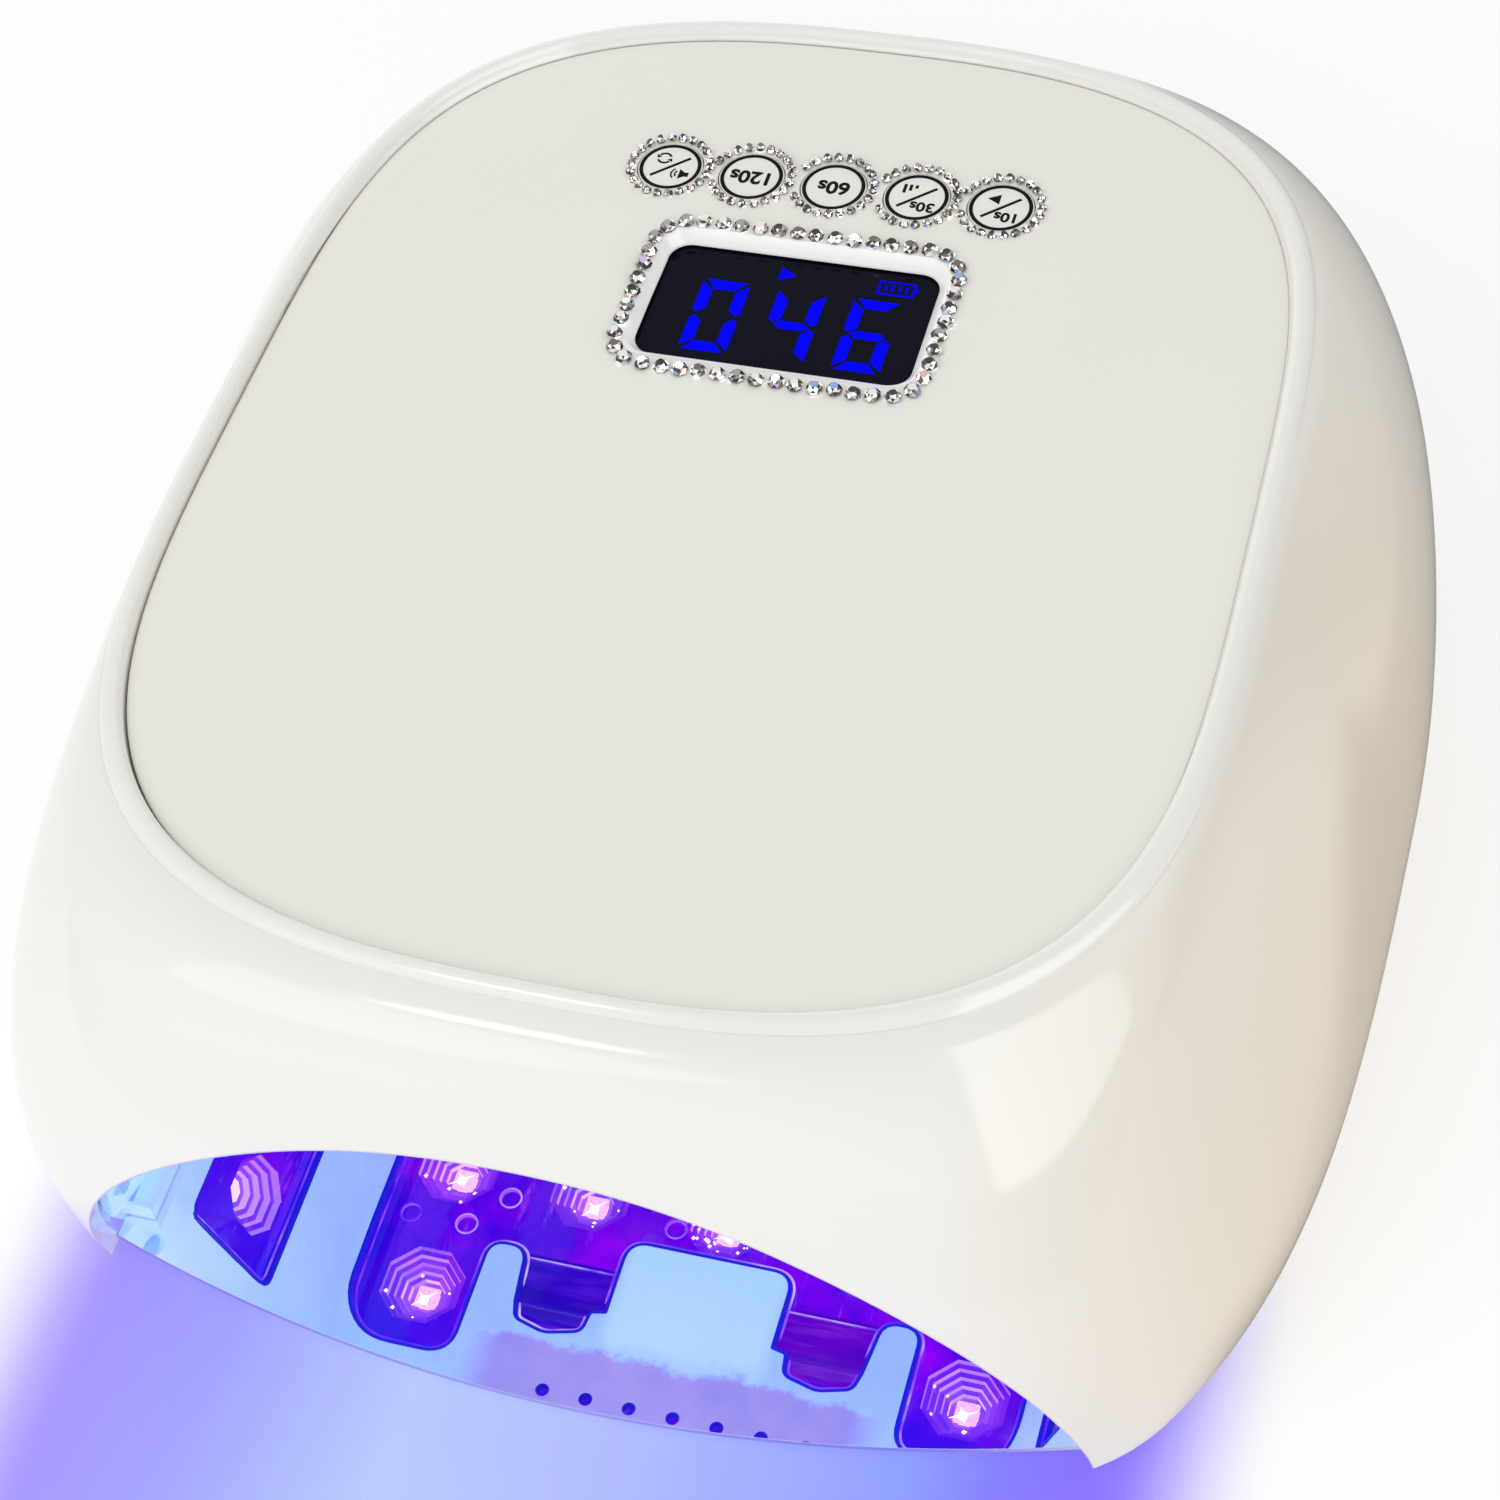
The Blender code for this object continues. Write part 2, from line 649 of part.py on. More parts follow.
# ---------------------------------------------------------------- 5 buttons, plungers, switches
SWITCH_TOP = CONTROL_TOP + GAP + 2.4
SWITCH_HALF = 3.0
PLUNGER_TOP = SWITCH_TOP + 1.2
PLUNGER_R = 1.6
BUTTON_R = 5.05
BUTTON_STEM_R = 1.5
BUTTON_FLANGE_R = 6.0      # flange that stays under the panel
FLANGE_TOP = BUTTON_Z - PANEL_T - 0.6
FLANGE_BOTTOM = BUTTON_Z - PANEL_T - 1.4


def add_button(key, x):
    profile = [
        (BUTTON_STEM_R, PLUNGER_TOP + GAP), (BUTTON_STEM_R, FLANGE_BOTTOM),
        (BUTTON_FLANGE_R, FLANGE_BOTTOM), (BUTTON_FLANGE_R, FLANGE_TOP),
        (BUTTON_R, FLANGE_TOP), (BUTTON_R, BUTTON_Z - 0.2), (BUTTON_R - 0.2, BUTTON_Z),
    ]
    make("button_" + key, turned(x, BUTTON_Y, profile, 20), button_white, 35,
         origin=(x, BUTTON_Y, BUTTON_Z))


def add_plunger(key, x):
    profile = [(PLUNGER_R, SWITCH_TOP - 0.5), (PLUNGER_R, PLUNGER_TOP)]
    make("plunger_" + key, turned(x, BUTTON_Y, profile, 14), black_plastic, 35,
         origin=(x, BUTTON_Y, PLUNGER_TOP))


def add_tact_switch(key, x):
    """Switch body with a round pocket for the plunger."""
    name = "tact_switch_" + key
    body = box((x - SWITCH_HALF, BUTTON_Y - SWITCH_HALF, CONTROL_TOP + GAP),
               (x + SWITCH_HALF, BUTTON_Y + SWITCH_HALF, SWITCH_TOP))
    switch = make(name, body, steel)
    pocket = [(PLUNGER_R + GAP, SWITCH_TOP - 1.4), (PLUNGER_R + GAP, SWITCH_TOP + 1.0)]
    cut(switch, "cut_" + name, turned(x, BUTTON_Y, pocket, 14))


for key, x in zip(BUTTONS, BUTTON_X):
    add_button(key, x)
    add_plunger(key, x)
    add_tact_switch(key, x)

# ---------------------------------------------------------------- 6 control board, buzzer, screws
board = make("control_board",
             prism(round_rect(0, CONTROL_Y, 48.0, 27.0, 3.0, 4), CONTROL_Z, CONTROL_TOP),
             board_green)
for i, (x, y) in enumerate(BOARD_POSTS):
    hole = [(1.5, CONTROL_Z - 1), (1.5, CONTROL_TOP + 1)]
    cut(board, "cut_board_%d" % i, turned(x, y, hole, 12))

buzzer = [(5.0, CONTROL_TOP + GAP), (5.0, CONTROL_TOP + 3.6), (4.6, CONTROL_TOP + 4.0)]
make("buzzer", turned(31.0, CONTROL_Y, buzzer, 20), black_plastic, 35)

for i, (x, y) in enumerate(BOARD_POSTS):
    screw_up("board_screw_%d" % (i + 1), x, y, CONTROL_Z - GAP, length=5.3, r=1.0)

# ---------------------------------------------------------------- 7 liner of the hand cavity
CAVITY_BACK = 186.0
LINER_FOOT_Z = 5.4
WALL_TOP_X, WALL_TOP_Z = 58.0, 50.0     # upper end of the straight side wall's line
WALL_FOOT_X = 73.5
WALL_SLOPE = (WALL_FOOT_X - WALL_TOP_X) / (WALL_TOP_Z - LINER_FOOT_Z)
SHOULDER_X, SHOULDER_Z = 46.0, 44.0     # centre of the round between wall and ceiling
MOUTH_GROW = 0.35          # inner edge of the liner's mouth beyond the arch
# Stations from the mouth inwards: blend from mouth to cavity section, y (None: curved mouth)
LINER_STATIONS = ((0.0, None), (0.5, 9.0), (1.0, 16.0), (1.0, 100.0))

# Right half (x, y) of the opening in the ceiling, from the middle of the front round to the back
CEILING_WINDOW = [
    (12.5, 46.0), (13.5, 45.0), (14.5, 34.0), (16.5, 29.6), (18.5, 28.6), (28.0, 28.6),
    (30.0, 29.6), (31.2, 31.5), (31.6, 40.0), (33.0, 41.5), (35.5, 41.5), (36.8, 40.0),
    (37.2, 25.0), (38.4, 21.6), (41.5, 20.0), (50.0, 20.0), (54.0, 22.0), (56.5, 26.0),
    (57.0, 31.0), (54.5, 48.0), (54.5, 150.0), (46.0, 168.0), (34.0, 176.0),
]
VENT_X = [7.5 * (i - 3) for i in range(7)]
VENT_Y, VENT_R = 18.0, 1.4

# Window in each side wall, and the sensor hole in front of it
SIDE_Y0, SIDE_Y1, SIDE_Z0, SIDE_Z1 = 16.0, 112.0, 11.0, 33.0
SIDE_CORNER = 4.0
SENSOR_Y, SENSOR_Z = 8.0, 12.0


def wall_x(z, outward=0.0):
    """Distance of the liner's side wall from the middle plane."""
    return WALL_TOP_X + (WALL_TOP_Z - z) * WALL_SLOPE + outward


def cavity_section(grow):
    """Section (x, z) of the hand cavity from right foot over the ceiling to left foot."""
    half = [(wall_x(z, grow), z) for z in (LINER_FOOT_Z, 14.0, 24.0, 34.0, 42.0)]
    width = wall_x(SHOULDER_Z) - SHOULDER_X + grow
    height = CEILING_Z - SHOULDER_Z + grow
    for k in range(5):
        a = math.radians(10 + 80.0 * k / 4)
        half.append((SHOULDER_X + width * math.cos(a), SHOULDER_Z + height * math.sin(a)))
    half += [(30.0, CEILING_Z + grow), (10.0, CEILING_Z + grow)]
    return mirrored(half)


def mouth_section(grow):
    """Same point count, following the arch edge at the hand opening."""
    x_power, z_power = ARCH_POWERS
    section = []
    for x, z in cavity_section(0.0):
        a = math.atan2(z / ARCH_H, x / ARCH_HALF_W)
        cos_a, sin_a = math.cos(a), math.sin(a)
        reach = (abs(cos_a) ** x_power + abs(sin_a) ** z_power) ** -0.47
        section.append(((ARCH_HALF_W + grow) * reach * cos_a,
                        max(LINER_FOOT_Z, (ARCH_H + grow) * reach * sin_a)))
    return section


def mouth_y(x, z):
    """Front edge of the liner: set back towards the sides and towards the top."""
    return -3.3 + 8.6 * abs(x / ARCH_HALF_W) ** 3.0 + 6.6 * smoothstep(38.0, 64.0, z)


def liner_ring(mouth, cavity, blend, y):
    ring = []
    for (mouth_x, mouth_z), (cavity_x, cavity_z) in zip(mouth, cavity):
        x = mouth_x + (cavity_x - mouth_x) * blend
        z = mouth_z + (cavity_z - mouth_z) * blend
        ring.append((x, mouth_y(x, z) if y is None else y, z))
    return ring


def liner_shell():
    """Vault of thickness LINER_T, open at the front and below, closed at the back."""
    bm = bmesh.new()
    inner = (mouth_section(MOUTH_GROW), cavity_section(0.0))
    outer = (mouth_section(MOUTH_GROW + LINER_T), cavity_section(LINER_T))
    stations = [(blend, y, y) for blend, y in LINER_STATIONS]
    stations.append((1.0, CAVITY_BACK, CAVITY_BACK + LINER_T))
    rows_in, rows_out = [], []
    for blend, y_in, y_out in stations:
        rows_in.append([bm.verts.new(p) for p in liner_ring(*inner, blend, y_in)])
        rows_out.append([bm.verts.new(p) for p in liner_ring(*outer, blend, y_out)])
    last = len(rows_in[0]) - 1
    for rows in (rows_in, rows_out):
        for row, following in zip(rows, rows[1:]):
            for i in range(last):
                bm.faces.new((row[i], row[i + 1], following[i + 1], following[i]))
    # front edge
    front_in, front_out = rows_in[0], rows_out[0]
    for i in range(last):
        bm.faces.new((front_in[i], front_in[i + 1], front_out[i + 1], front_out[i]))
    # foot edges
    for e in (0, last):
        for k in range(len(stations) - 1):
            bm.faces.new((rows_in[k][e], rows_in[k + 1][e], rows_out[k + 1][e], rows_out[k][e]))
    # back walls and the strip between their feet
    back_in, back_out = rows_in[-1], rows_out[-1]
    bm.faces.new(back_in)
    bm.faces.new(back_out)
    bm.faces.new((back_in[0], back_in[-1], back_out[-1], back_out[0]))
    return bm


def side_outline(grow=0.0):
    """Outline (y, z) of the window in a side wall, with cut corners."""
    y0, y1, z0, z1 = SIDE_Y0 - grow, SIDE_Y1 + grow, SIDE_Z0 - grow, SIDE_Z1 + grow
    c = SIDE_CORNER
    return [(y0 + c, z0), (y1 - c, z0), (y1, z0 + c), (y1, z1 - c),
            (y1 - c, z1), (y0 + c, z1), (y0, z1 - c), (y0, z0 + c)]


def side_sheet(sx, outline, near, far):
    """Sheet parallel to a side wall, between two distances outward from its inner face."""
    return loft([[(sx * wall_x(z, d), y, z) for y, z in outline] for d in (near, far)])


def sensor_rod(sx, x0, x1, r):
    return rod((sx * x0, SENSOR_Y, SENSOR_Z), (sx * x1, SENSOR_Y, SENSOR_Z), r, 14)


liner = make("inner_liner", liner_shell(), liner_white, 35)
cut(liner, "cut_window", prism(mirrored(CEILING_WINDOW), CEILING_Z - 6.0, CEILING_Z + 8.0))
for i, x in enumerate(VENT_X):
    hole = [(VENT_R, CEILING_Z - 5), (VENT_R, CEILING_Z + 6)]
    cut(liner, "cut_vent_%d" % i, turned(x, VENT_Y, hole, 12))
for side, sx in SIDES:
    cut(liner, "cut_side_" + side, side_sheet(sx, side_outline(), -6.0, 8.0))
    cut(liner, "cut_sensor_" + side, sensor_rod(sx, 60.0, 90.0, 1.9))

# ---------------------------------------------------------------- 8 lenses with octagonal cups
LENS_T = 2.0
LENS_OUTLINE = [(60.0, 17.0), (61.0, 60.0), (61.0, 152.0), (50.0, 172.0), (38.0, 179.0)]
# Rows of cups from front to back: y, x of each cup
CUP_ROWS = (
    (33.0, (-47.0, 47.0)),
    (56.0, (-48.0, -24.0, 0.0, 24.0, 48.0)),
    (82.0, (-39.0, -13.0, 13.0, 39.0)),
    (108.0, (-45.0, -22.5, 0.0, 22.5, 45.0)),
    (134.0, (-39.0, -13.0, 13.0, 39.0)),
    (158.0, (-26.0, 0.0, 26.0)),
)
CUPS = [(x, y) for y, xs in CUP_ROWS for x in xs]
# (radius, z) of a cup's outside and its hollow
CUP_BODY = ((8.0, LENS_Z + 1.0), (4.6, CUP_TOP))
CUP_HOLLOW = ((7.4, LENS_Z - 1.0), (7.0, LENS_Z + 0.9), (3.3, CUP_TOP + 0.5))

SIDE_LENS_OVERLAP = 2.2
SIDE_CUPS_Y = (28.0, 54.0, 80.0, 102.0)
SIDE_CUPS_Z = 0.5 * (SIDE_Z0 + SIDE_Z1)
SIDE_CUP_TOP = LINER_T + 6.0
# (radius, distance outward from the liner's inner face)
SIDE_CUP_BODY = ((7.0, LINER_T + 1.6), (4.2, SIDE_CUP_TOP))
SIDE_CUP_HOLLOW = ((6.4, LINER_T - 0.5), (6.2, LINER_T + 1.6), (3.2, LINER_T + 5.2))


def cups(profile):
    bm = bmesh.new()
    for x, y in CUPS:
        loft([[(px, py, z) for px, py in octagon(x, y, r)] for r, z in profile], bm)
    return bm


def side_cups(sx, profile):
    bm = bmesh.new()
    for cup_y in SIDE_CUPS_Y:
        rings = []
        for r, outward in profile:
            outline = octagon(cup_y, SIDE_CUPS_Z, r)
            rings.append([(sx * wall_x(z, outward), y, z) for y, z in outline])
        loft(rings, bm)
    return bm


lens = make("lens_plate", prism(mirrored(LENS_OUTLINE), LENS_Z, LENS_Z + LENS_T), lens_violet, 30)
join(lens, "cup_bodies", cups(CUP_BODY))
cut(lens, "cup_hollows", cups(CUP_HOLLOW))

for side, sx in SIDES:
    sheet = side_sheet(sx, side_outline(SIDE_LENS_OVERLAP),
                       LINER_T + GAP + 0.5, LINER_T + GAP + 2.0)
    side_lens = make("side_lens_" + side, sheet, lens_violet, 30)
    join(side_lens, "side_cup_bodies_" + side, side_cups(sx, SIDE_CUP_BODY))
    cut(side_lens, "side_cup_hollows_" + side, side_cups(sx, SIDE_CUP_HOLLOW))

# ---------------------------------------------------------------- 9 LED boards, emitter packages
LED_OUTLINE = [(57.0, 24.0), (57.0, 150.0), (47.0, 168.0)]
LED_BOARD_T = 1.5
LED_HALF = 1.75
SIDE_BOARD_INSET = 2
SIDE_BOARD_T = 1.4

led_board = make("led_board",
                 prism(mirrored(LED_OUTLINE), LED_BOARD_Z, LED_BOARD_Z + LED_BOARD_T),
                 board_white)
packages = bmesh.new()
for x, y in CUPS:
    box((x - LED_HALF, y - LED_HALF, LED_BOARD_Z - 1.0),
        (x + LED_HALF, y + LED_HALF, LED_BOARD_Z + 0.5), packages)
join(led_board, "led_packages", packages)

for side, sx in SIDES:
    y0, y1 = SIDE_Y0 + SIDE_BOARD_INSET, SIDE_Y1 - SIDE_BOARD_INSET
    z0, z1 = SIDE_Z0 + SIDE_BOARD_INSET, SIDE_Z1 - SIDE_BOARD_INSET
    near = SIDE_CUP_TOP + GAP
    sheet = side_sheet(sx, [(y0, z0), (y1, z0), (y1, z1), (y0, z1)], near, near + SIDE_BOARD_T)
    make("side_led_board_" + side, sheet, board_white)

# ---------------------------------------------------------------- 10 hand sensors
for side, sx in SIDES:
    make("hand_sensor_" + side, sensor_rod(sx, 73.6, 79.5, 1.5), black_plastic, 35)

# ---------------------------------------------------------------- 11 cells, cradles, leads
CELL_R, CELL_X, CELL_Z, CELL_Y0, CELL_Y1 = 9.2, 90.0, 18.5, 60.0, 125.0
CELL_BEVEL = 0.6
TERMINAL_R, TERMINAL_H = 2.8, 1.2
CRADLE_IN_R, CRADLE_OUT_R = CELL_R + 0.4, CELL_R + 1.9
CRADLE_INSET = 3           # from the ends of the cell
# Path (x, y, z) of the right-hand battery lead, from the cell to the control board
BATTERY_LEAD = (
    (90.0, 127.5, 18.5), (86.0, 136.0, 24.0), (77.0, 146.0, 44.0),
    (68.0, 150.0, 62.0), (52.0, 150.0, 72.0), (44.0, 150.0, 72.0),
)
# Path (y, z) of the socket and switch leads, up the back and forward over the board's height
REAR_LEAD = ((209.0, REAR_Z), (205.0, 30.0), (203.0, 50.0),
             (199.0, 64.0), (186.0, 72.0), (174.0, 72.0))


def add_cell(side, sx):
    profile = [
        (CELL_R - CELL_BEVEL, CELL_Y0), (CELL_R, CELL_Y0 + CELL_BEVEL),
        (CELL_R, CELL_Y1 - CELL_BEVEL), (CELL_R - CELL_BEVEL, CELL_Y1),
        (TERMINAL_R, CELL_Y1), (TERMINAL_R, CELL_Y1 + TERMINAL_H),
    ]
    make("battery_cell_" + side, turned_y(sx * CELL_X, CELL_Z, profile, 16), cell_wrap, 35)


def add_cradle(side, sx):
    """Curved trough under the cell."""
    arc = [math.radians(215 + 110 * k / 8) for k in range(9)]
    section = []
    for r, angles in ((CRADLE_IN_R, arc), (CRADLE_OUT_R, reversed(arc))):
        section += [(sx * CELL_X + r * math.cos(a), CELL_Z + r * math.sin(a)) for a in angles]
    ends = (CELL_Y0 + CRADLE_INSET, CELL_Y1 - CRADLE_INSET)
    trough = loft([[(x, y, z) for x, z in section] for y in ends])
    make("battery_cradle_" + side, trough, black_plastic, 35)


for side, sx in SIDES:
    add_cell(side, sx)
    add_cradle(side, sx)
for side, sx in SIDES:
    path = [(sx * x, y, z) for x, y, z in BATTERY_LEAD]
    make("battery_lead_" + side, cable(path, 0.9), lead_black, 40)
for name, x in (("charge_lead", JACK_X), ("switch_lead", SWITCH_X)):
    make(name, cable([(x, y, z) for y, z in REAR_LEAD], 1.0), lead_black, 40)

# ---------------------------------------------------------------- 12 socket and switch at the back
REAR_FACE_Y = BODY_Y_BACK - 0.4
SOCKET_R, SOCKET_BORE_R = 4.25, 2.9
ROCKER_Y = REAR_FACE_Y - 4.2
ROCKER_TILT = math.radians(8.0)
ROCKER_HALF_Z = 4.0
# Plan section of the untilted rocker: (x, y) from its origin, y towards the back
ROCKER_SECTION = (
    (-6.2, 5.0), (-3.1, 4.15), (0.0, 3.9), (3.1, 4.15), (6.2, 5.0),
    (5.4, 0.0), (2.2, -2.0), (-2.2, -2.0), (-5.4, 0.0),
)


def add_socket():
    """Barrel with a blind bore from the back, and its pin."""
    profile = [
        (SOCKET_R, REAR_FACE_Y - 15.0), (SOCKET_R, REAR_FACE_Y - 3.6),
        (SOCKET_R, REAR_FACE_Y + 0.6), (SOCKET_BORE_R, REAR_FACE_Y + 0.6),
        (SOCKET_BORE_R, REAR_FACE_Y - 8.0),
    ]
    make("charging_socket", turned_y(JACK_X, REAR_Z, profile, 24), black_plastic, 35)
    pin = rod((JACK_X, REAR_FACE_Y - 7.6, REAR_Z), (JACK_X, REAR_FACE_Y - 0.5, REAR_Z), 0.9, 12)
    make("socket_pin", pin, steel, 35)


def add_switch_bezel():
    """Rectangular box with a pocket open to the back."""
    outer = round_rect(SWITCH_X, 0, 9.4, 6.2, 1.0, 3)
    inner = round_rect(SWITCH_X, 0, 7.6, 4.4, 0.6, 3)
    levels = ((outer, REAR_FACE_Y - 12.0), (outer, REAR_FACE_Y + 0.4),
              (inner, REAR_FACE_Y + 0.4), (inner, REAR_FACE_Y - 9.0))
    bezel = loft([[(x, y, REAR_Z + z) for x, z in ring] for ring, y in levels])
    make("switch_bezel", bezel, black_plastic, 35)


def add_rocker():
    cos_t, sin_t = math.cos(ROCKER_TILT), math.sin(ROCKER_TILT)
    section = [(x * cos_t + y * sin_t, ROCKER_Y - x * sin_t + y * cos_t)
               for x, y in ROCKER_SECTION]
    rocker = loft([[(SWITCH_X + x, y, REAR_Z + z) for x, y in section]
                   for z in (-ROCKER_HALF_Z, ROCKER_HALF_Z)])
    make("power_rocker", rocker, black_plastic, 30, origin=(SWITCH_X, ROCKER_Y, REAR_Z))


add_socket()
add_switch_bezel()
add_rocker()

# ---------------------------------------------------------------- 13 bottom frame, feet, magnets
FRAME_Z = RIM_Z + 0.5
FRAME_FIRST_DEG, FRAME_STEP_DEG = -51, 6
# Levels: half width of the inner edge, y of its back, shrink of the outer edge, z
FRAME_LEVELS = (
    (75.0, 197.0, 0.5, FRAME_Z),
    (75.0, 197.0, 0.4, PLATE_CLEAR_Z),
    (71.5, 194.0, 0.0, PLATE_CLEAR_Z + 0.05),
    (71.5, 194.0, 0.1, 5.0),
)
# (radius, z) of the screw holes: wide below for the head, narrow above
FRAME_HOLE = ((3.2, -2.0), (3.2, 3.4), (1.5, 3.4), (1.5, 8.0))
FEET = [(-86.0, 50.0), (86.0, 50.0), (-78.0, 166.0), (78.0, 166.0)]
MAGNET_X, MAGNET_HALF_X = 40, 5
MAGNET_Y0, MAGNET_Y1, MAGNET_TOP = 190.4, 193.7, 5.2


def frame_outline(inner_x, inner_back, shrink):
    """U-shaped outline: outer edge from right front round the back, then the inner edge."""
    outer = []
    for degrees in range(FRAME_FIRST_DEG, 181 - FRAME_FIRST_DEG, FRAME_STEP_DEG):
        a = math.radians(degrees)
        outer.append(waist_edge(a, -foot_inset(a) - WALL - 0.5 - shrink))
    inner_left = [(-inner_x, outer[-1][1]), (-inner_x, inner_back - 25.0),
                  (-inner_x + 14.6, inner_back)]
    return outer + mirrored(inner_left)


frame_body = loft([[(x, y, z) for x, y in frame_outline(inner_x, inner_back, shrink)]
                   for inner_x, inner_back, shrink, z in FRAME_LEVELS])
frame = make("bottom_frame", frame_body, frame_white)
for i, (x, y) in enumerate(FRAME_POSTS):
    cut(frame, "cut_frame_%d" % i, turned(x, y, FRAME_HOLE, 14))
    screw_up("frame_screw_%d" % (i + 1), x, y, 3.1, length=12.0, r=1.2)
for i, (x, y) in enumerate(FEET):
    foot = [(4.4, 0.0), (5.0, 0.4), (5.0, FRAME_Z - GAP)]
    make("rubber_foot_%d" % (i + 1), turned(x, y, foot, 18), rubber, 35)
for side, sx in SIDES:
    magnet = box((sx * MAGNET_X - MAGNET_HALF_X, MAGNET_Y0, PLATE_CLEAR_Z),
                 (sx * MAGNET_X + MAGNET_HALF_X, MAGNET_Y1, MAGNET_TOP))
    make("plate_magnet_" + side, magnet, steel)

# ---------------------------------------------------------------- 14 slide-out mirror base plate
PLATE_FRONT_STEPS = 24
PLATE_CORNER_Y = 3.5       # front corners
PLATE_BULGE = 11.0         # parabolic front edge ahead of its corners
PLATE_BACK = [(PLATE_HALF_W, 171.5), (PLATE_HALF_W - 14.0, 196.0)]

plate_front = []
for k in range(PLATE_FRONT_STEPS + 1):
    x = -PLATE_HALF_W + 2 * PLATE_HALF_W * k / PLATE_FRONT_STEPS
    plate_front.append((x, PLATE_CORNER_Y - PLATE_BULGE * (1 - (x / PLATE_HALF_W) ** 2)))
plate = prism(plate_front + mirrored(PLATE_BACK), PLATE_Z, PLATE_Z + PLATE_T)
make("base_plate", plate, mirror_steel)
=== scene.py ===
"""Looks of a cordless UV LED nail lamp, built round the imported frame.

The lamp stands on the z = 0 plane, its hand opening towards -y and its right side
towards +x. Sizes are in millimetres, with y counted from the front feet line; each
mesh is turned into metres about the frame's origin when it becomes an object.
Material and stage settings that follow object coordinates are in metres.
"""

from functools import lru_cache, reduce
import math

import bmesh
import bpy
from mathutils import Matrix, Vector


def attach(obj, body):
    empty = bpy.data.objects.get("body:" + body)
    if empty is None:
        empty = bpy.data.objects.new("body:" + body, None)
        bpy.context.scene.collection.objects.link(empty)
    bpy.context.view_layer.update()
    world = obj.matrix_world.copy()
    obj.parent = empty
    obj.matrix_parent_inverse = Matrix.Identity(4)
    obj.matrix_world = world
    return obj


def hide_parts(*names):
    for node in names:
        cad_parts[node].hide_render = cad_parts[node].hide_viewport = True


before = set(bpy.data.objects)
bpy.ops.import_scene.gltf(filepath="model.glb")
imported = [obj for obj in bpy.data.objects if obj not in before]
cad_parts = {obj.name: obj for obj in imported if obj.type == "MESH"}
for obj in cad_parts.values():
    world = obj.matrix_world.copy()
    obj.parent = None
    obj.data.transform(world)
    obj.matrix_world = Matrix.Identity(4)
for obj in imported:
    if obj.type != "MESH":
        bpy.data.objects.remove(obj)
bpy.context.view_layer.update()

MM = 0.001
SHIFT_Y = 109.85          # y of the frame's origin, counted from the front feet line
LAMP = "lamp"
SIDES = (("left", -1), ("right", 1))
GAP = 0.3                 # clearance between neighbouring parts

# housing
BODY_HALF_W, BODY_Y_FRONT, BODY_Y_BACK = 103.0, -8.0, 226.0
WAIST_Z, RIM_Z, WALL, CENTRE_Y = 20.0, 1.0, 2.4, 108.0
RING_POINTS = 288
DECK_TOP, DECK_T = 75.8, 2.0
DECK_HOLE_HALF, DECK_HOLE_Y, DECK_HOLE_POWER = (37.0, 27.0), 149.0, 8
ARCH_HALF_W, ARCH_H = 76.0, 62.0
REAR_Z, SOCKET_X, SWITCH_X = 20.0, 24.0, -24.0
REAR_CUT_Y = (205.0, 240.0)

# top panel, keys and display
PANEL_HALF_W, PANEL_Y_FRONT, PANEL_Y_BACK = 76.7, 16.0, 199.5
PANEL_Z, PANEL_CROWN, PANEL_T = 80.6, 0.00022, 2.2
KEYS = ("mode", "120s", "60s", "30s", "10s")
BUTTON_PITCH, BUTTON_Y, BUTTON_R, BUTTON_HOLE_R = 13.35, 166.5, 5.05, 5.35
BUTTON_X = [BUTTON_PITCH * (i - 2) for i in range(5)]
SWITCH_TOP = 69.0 + 1.6 + GAP + 2.4
PLUNGER_TOP = SWITCH_TOP + 1.2
DISPLAY_Y, DISPLAY_HALF, DISPLAY_R = 140.0, (21.2, 12.2), 3.4

# hand cavity and its liner
CEILING_Z, LINER_T, CAVITY_BACK = 57.0, 2.0, 186.0
WALL_TOP_X, WALL_FOOT_X, WALL_TOP_Z, LINER_FOOT_Z = 58.0, 73.5, 50.0, 5.4
CORNER_X, CORNER_R = 51.2, 7.5          # rounding between wall and ceiling
VENT_Y, VENT_R = 18.1, 1.15
VENT_X = [2.0 + 7.46 * (i - 3) for i in range(7)]
SENSOR_Y, SENSOR_Z = 8.0, 12.0
SIDE_Y, SIDE_Z = (15.2, 112.0), (13.2, 35.6)          # side openings
SIDE_CUPS, SIDE_CUP_Z = (28.0, 54.0, 80.0, 102.0), 28.6

# lens over the ceiling LEDs
LENS_Z, LENS_T, CUP_TOP, CUP_R = 59.3, 2.0, 65.0, 8.0
CUP_MOUTH, CUP_FLOOR, CUP_DEPTH = 7.4, 2.2, 5.1
OCTAGON_TURN = math.pi / 8
CUP_ROWS = (          # y of the row, x of its cups
    (33.0, (-47.0, 47.0)),
    (56.0, (-48.0, -24.0, 0.0, 24.0, 48.0)),
    (82.0, (-39.0, -13.0, 13.0, 39.0)),
    (108.0, (-45.0, -22.5, 0.0, 22.5, 45.0)),
    (134.0, (-39.0, -13.0, 13.0, 39.0)),
    (158.0, (-26.0, 0.0, 26.0)),
)
CUPS = [(x, y) for y, row in CUP_ROWS for x in row]
BOSSES = [(-53.6, 45.8), (-43.4, 45.7), (-37.5, 52.1), (-8.0, 52.7), (37.5, 52.1),
          (43.4, 45.7), (53.6, 45.8), (-12.0, 68.0), (12.0, 68.0)]

# sliding base plate
PLATE_Z, PLATE_T, PLATE_HALF_W = 1.5, 1.0, 74.0


def hash01(*keys):
    """Repeatable number between 0 and 1 from a few indices."""
    h = 1469598103
    for key in keys:
        h = (h ^ (int(key) + 1013)) * 16777619 % 4294967296
    h = (h ^ (h >> 15)) * 2246822519 % 4294967296
    return (h ^ (h >> 13)) % 100003 / 100003.0


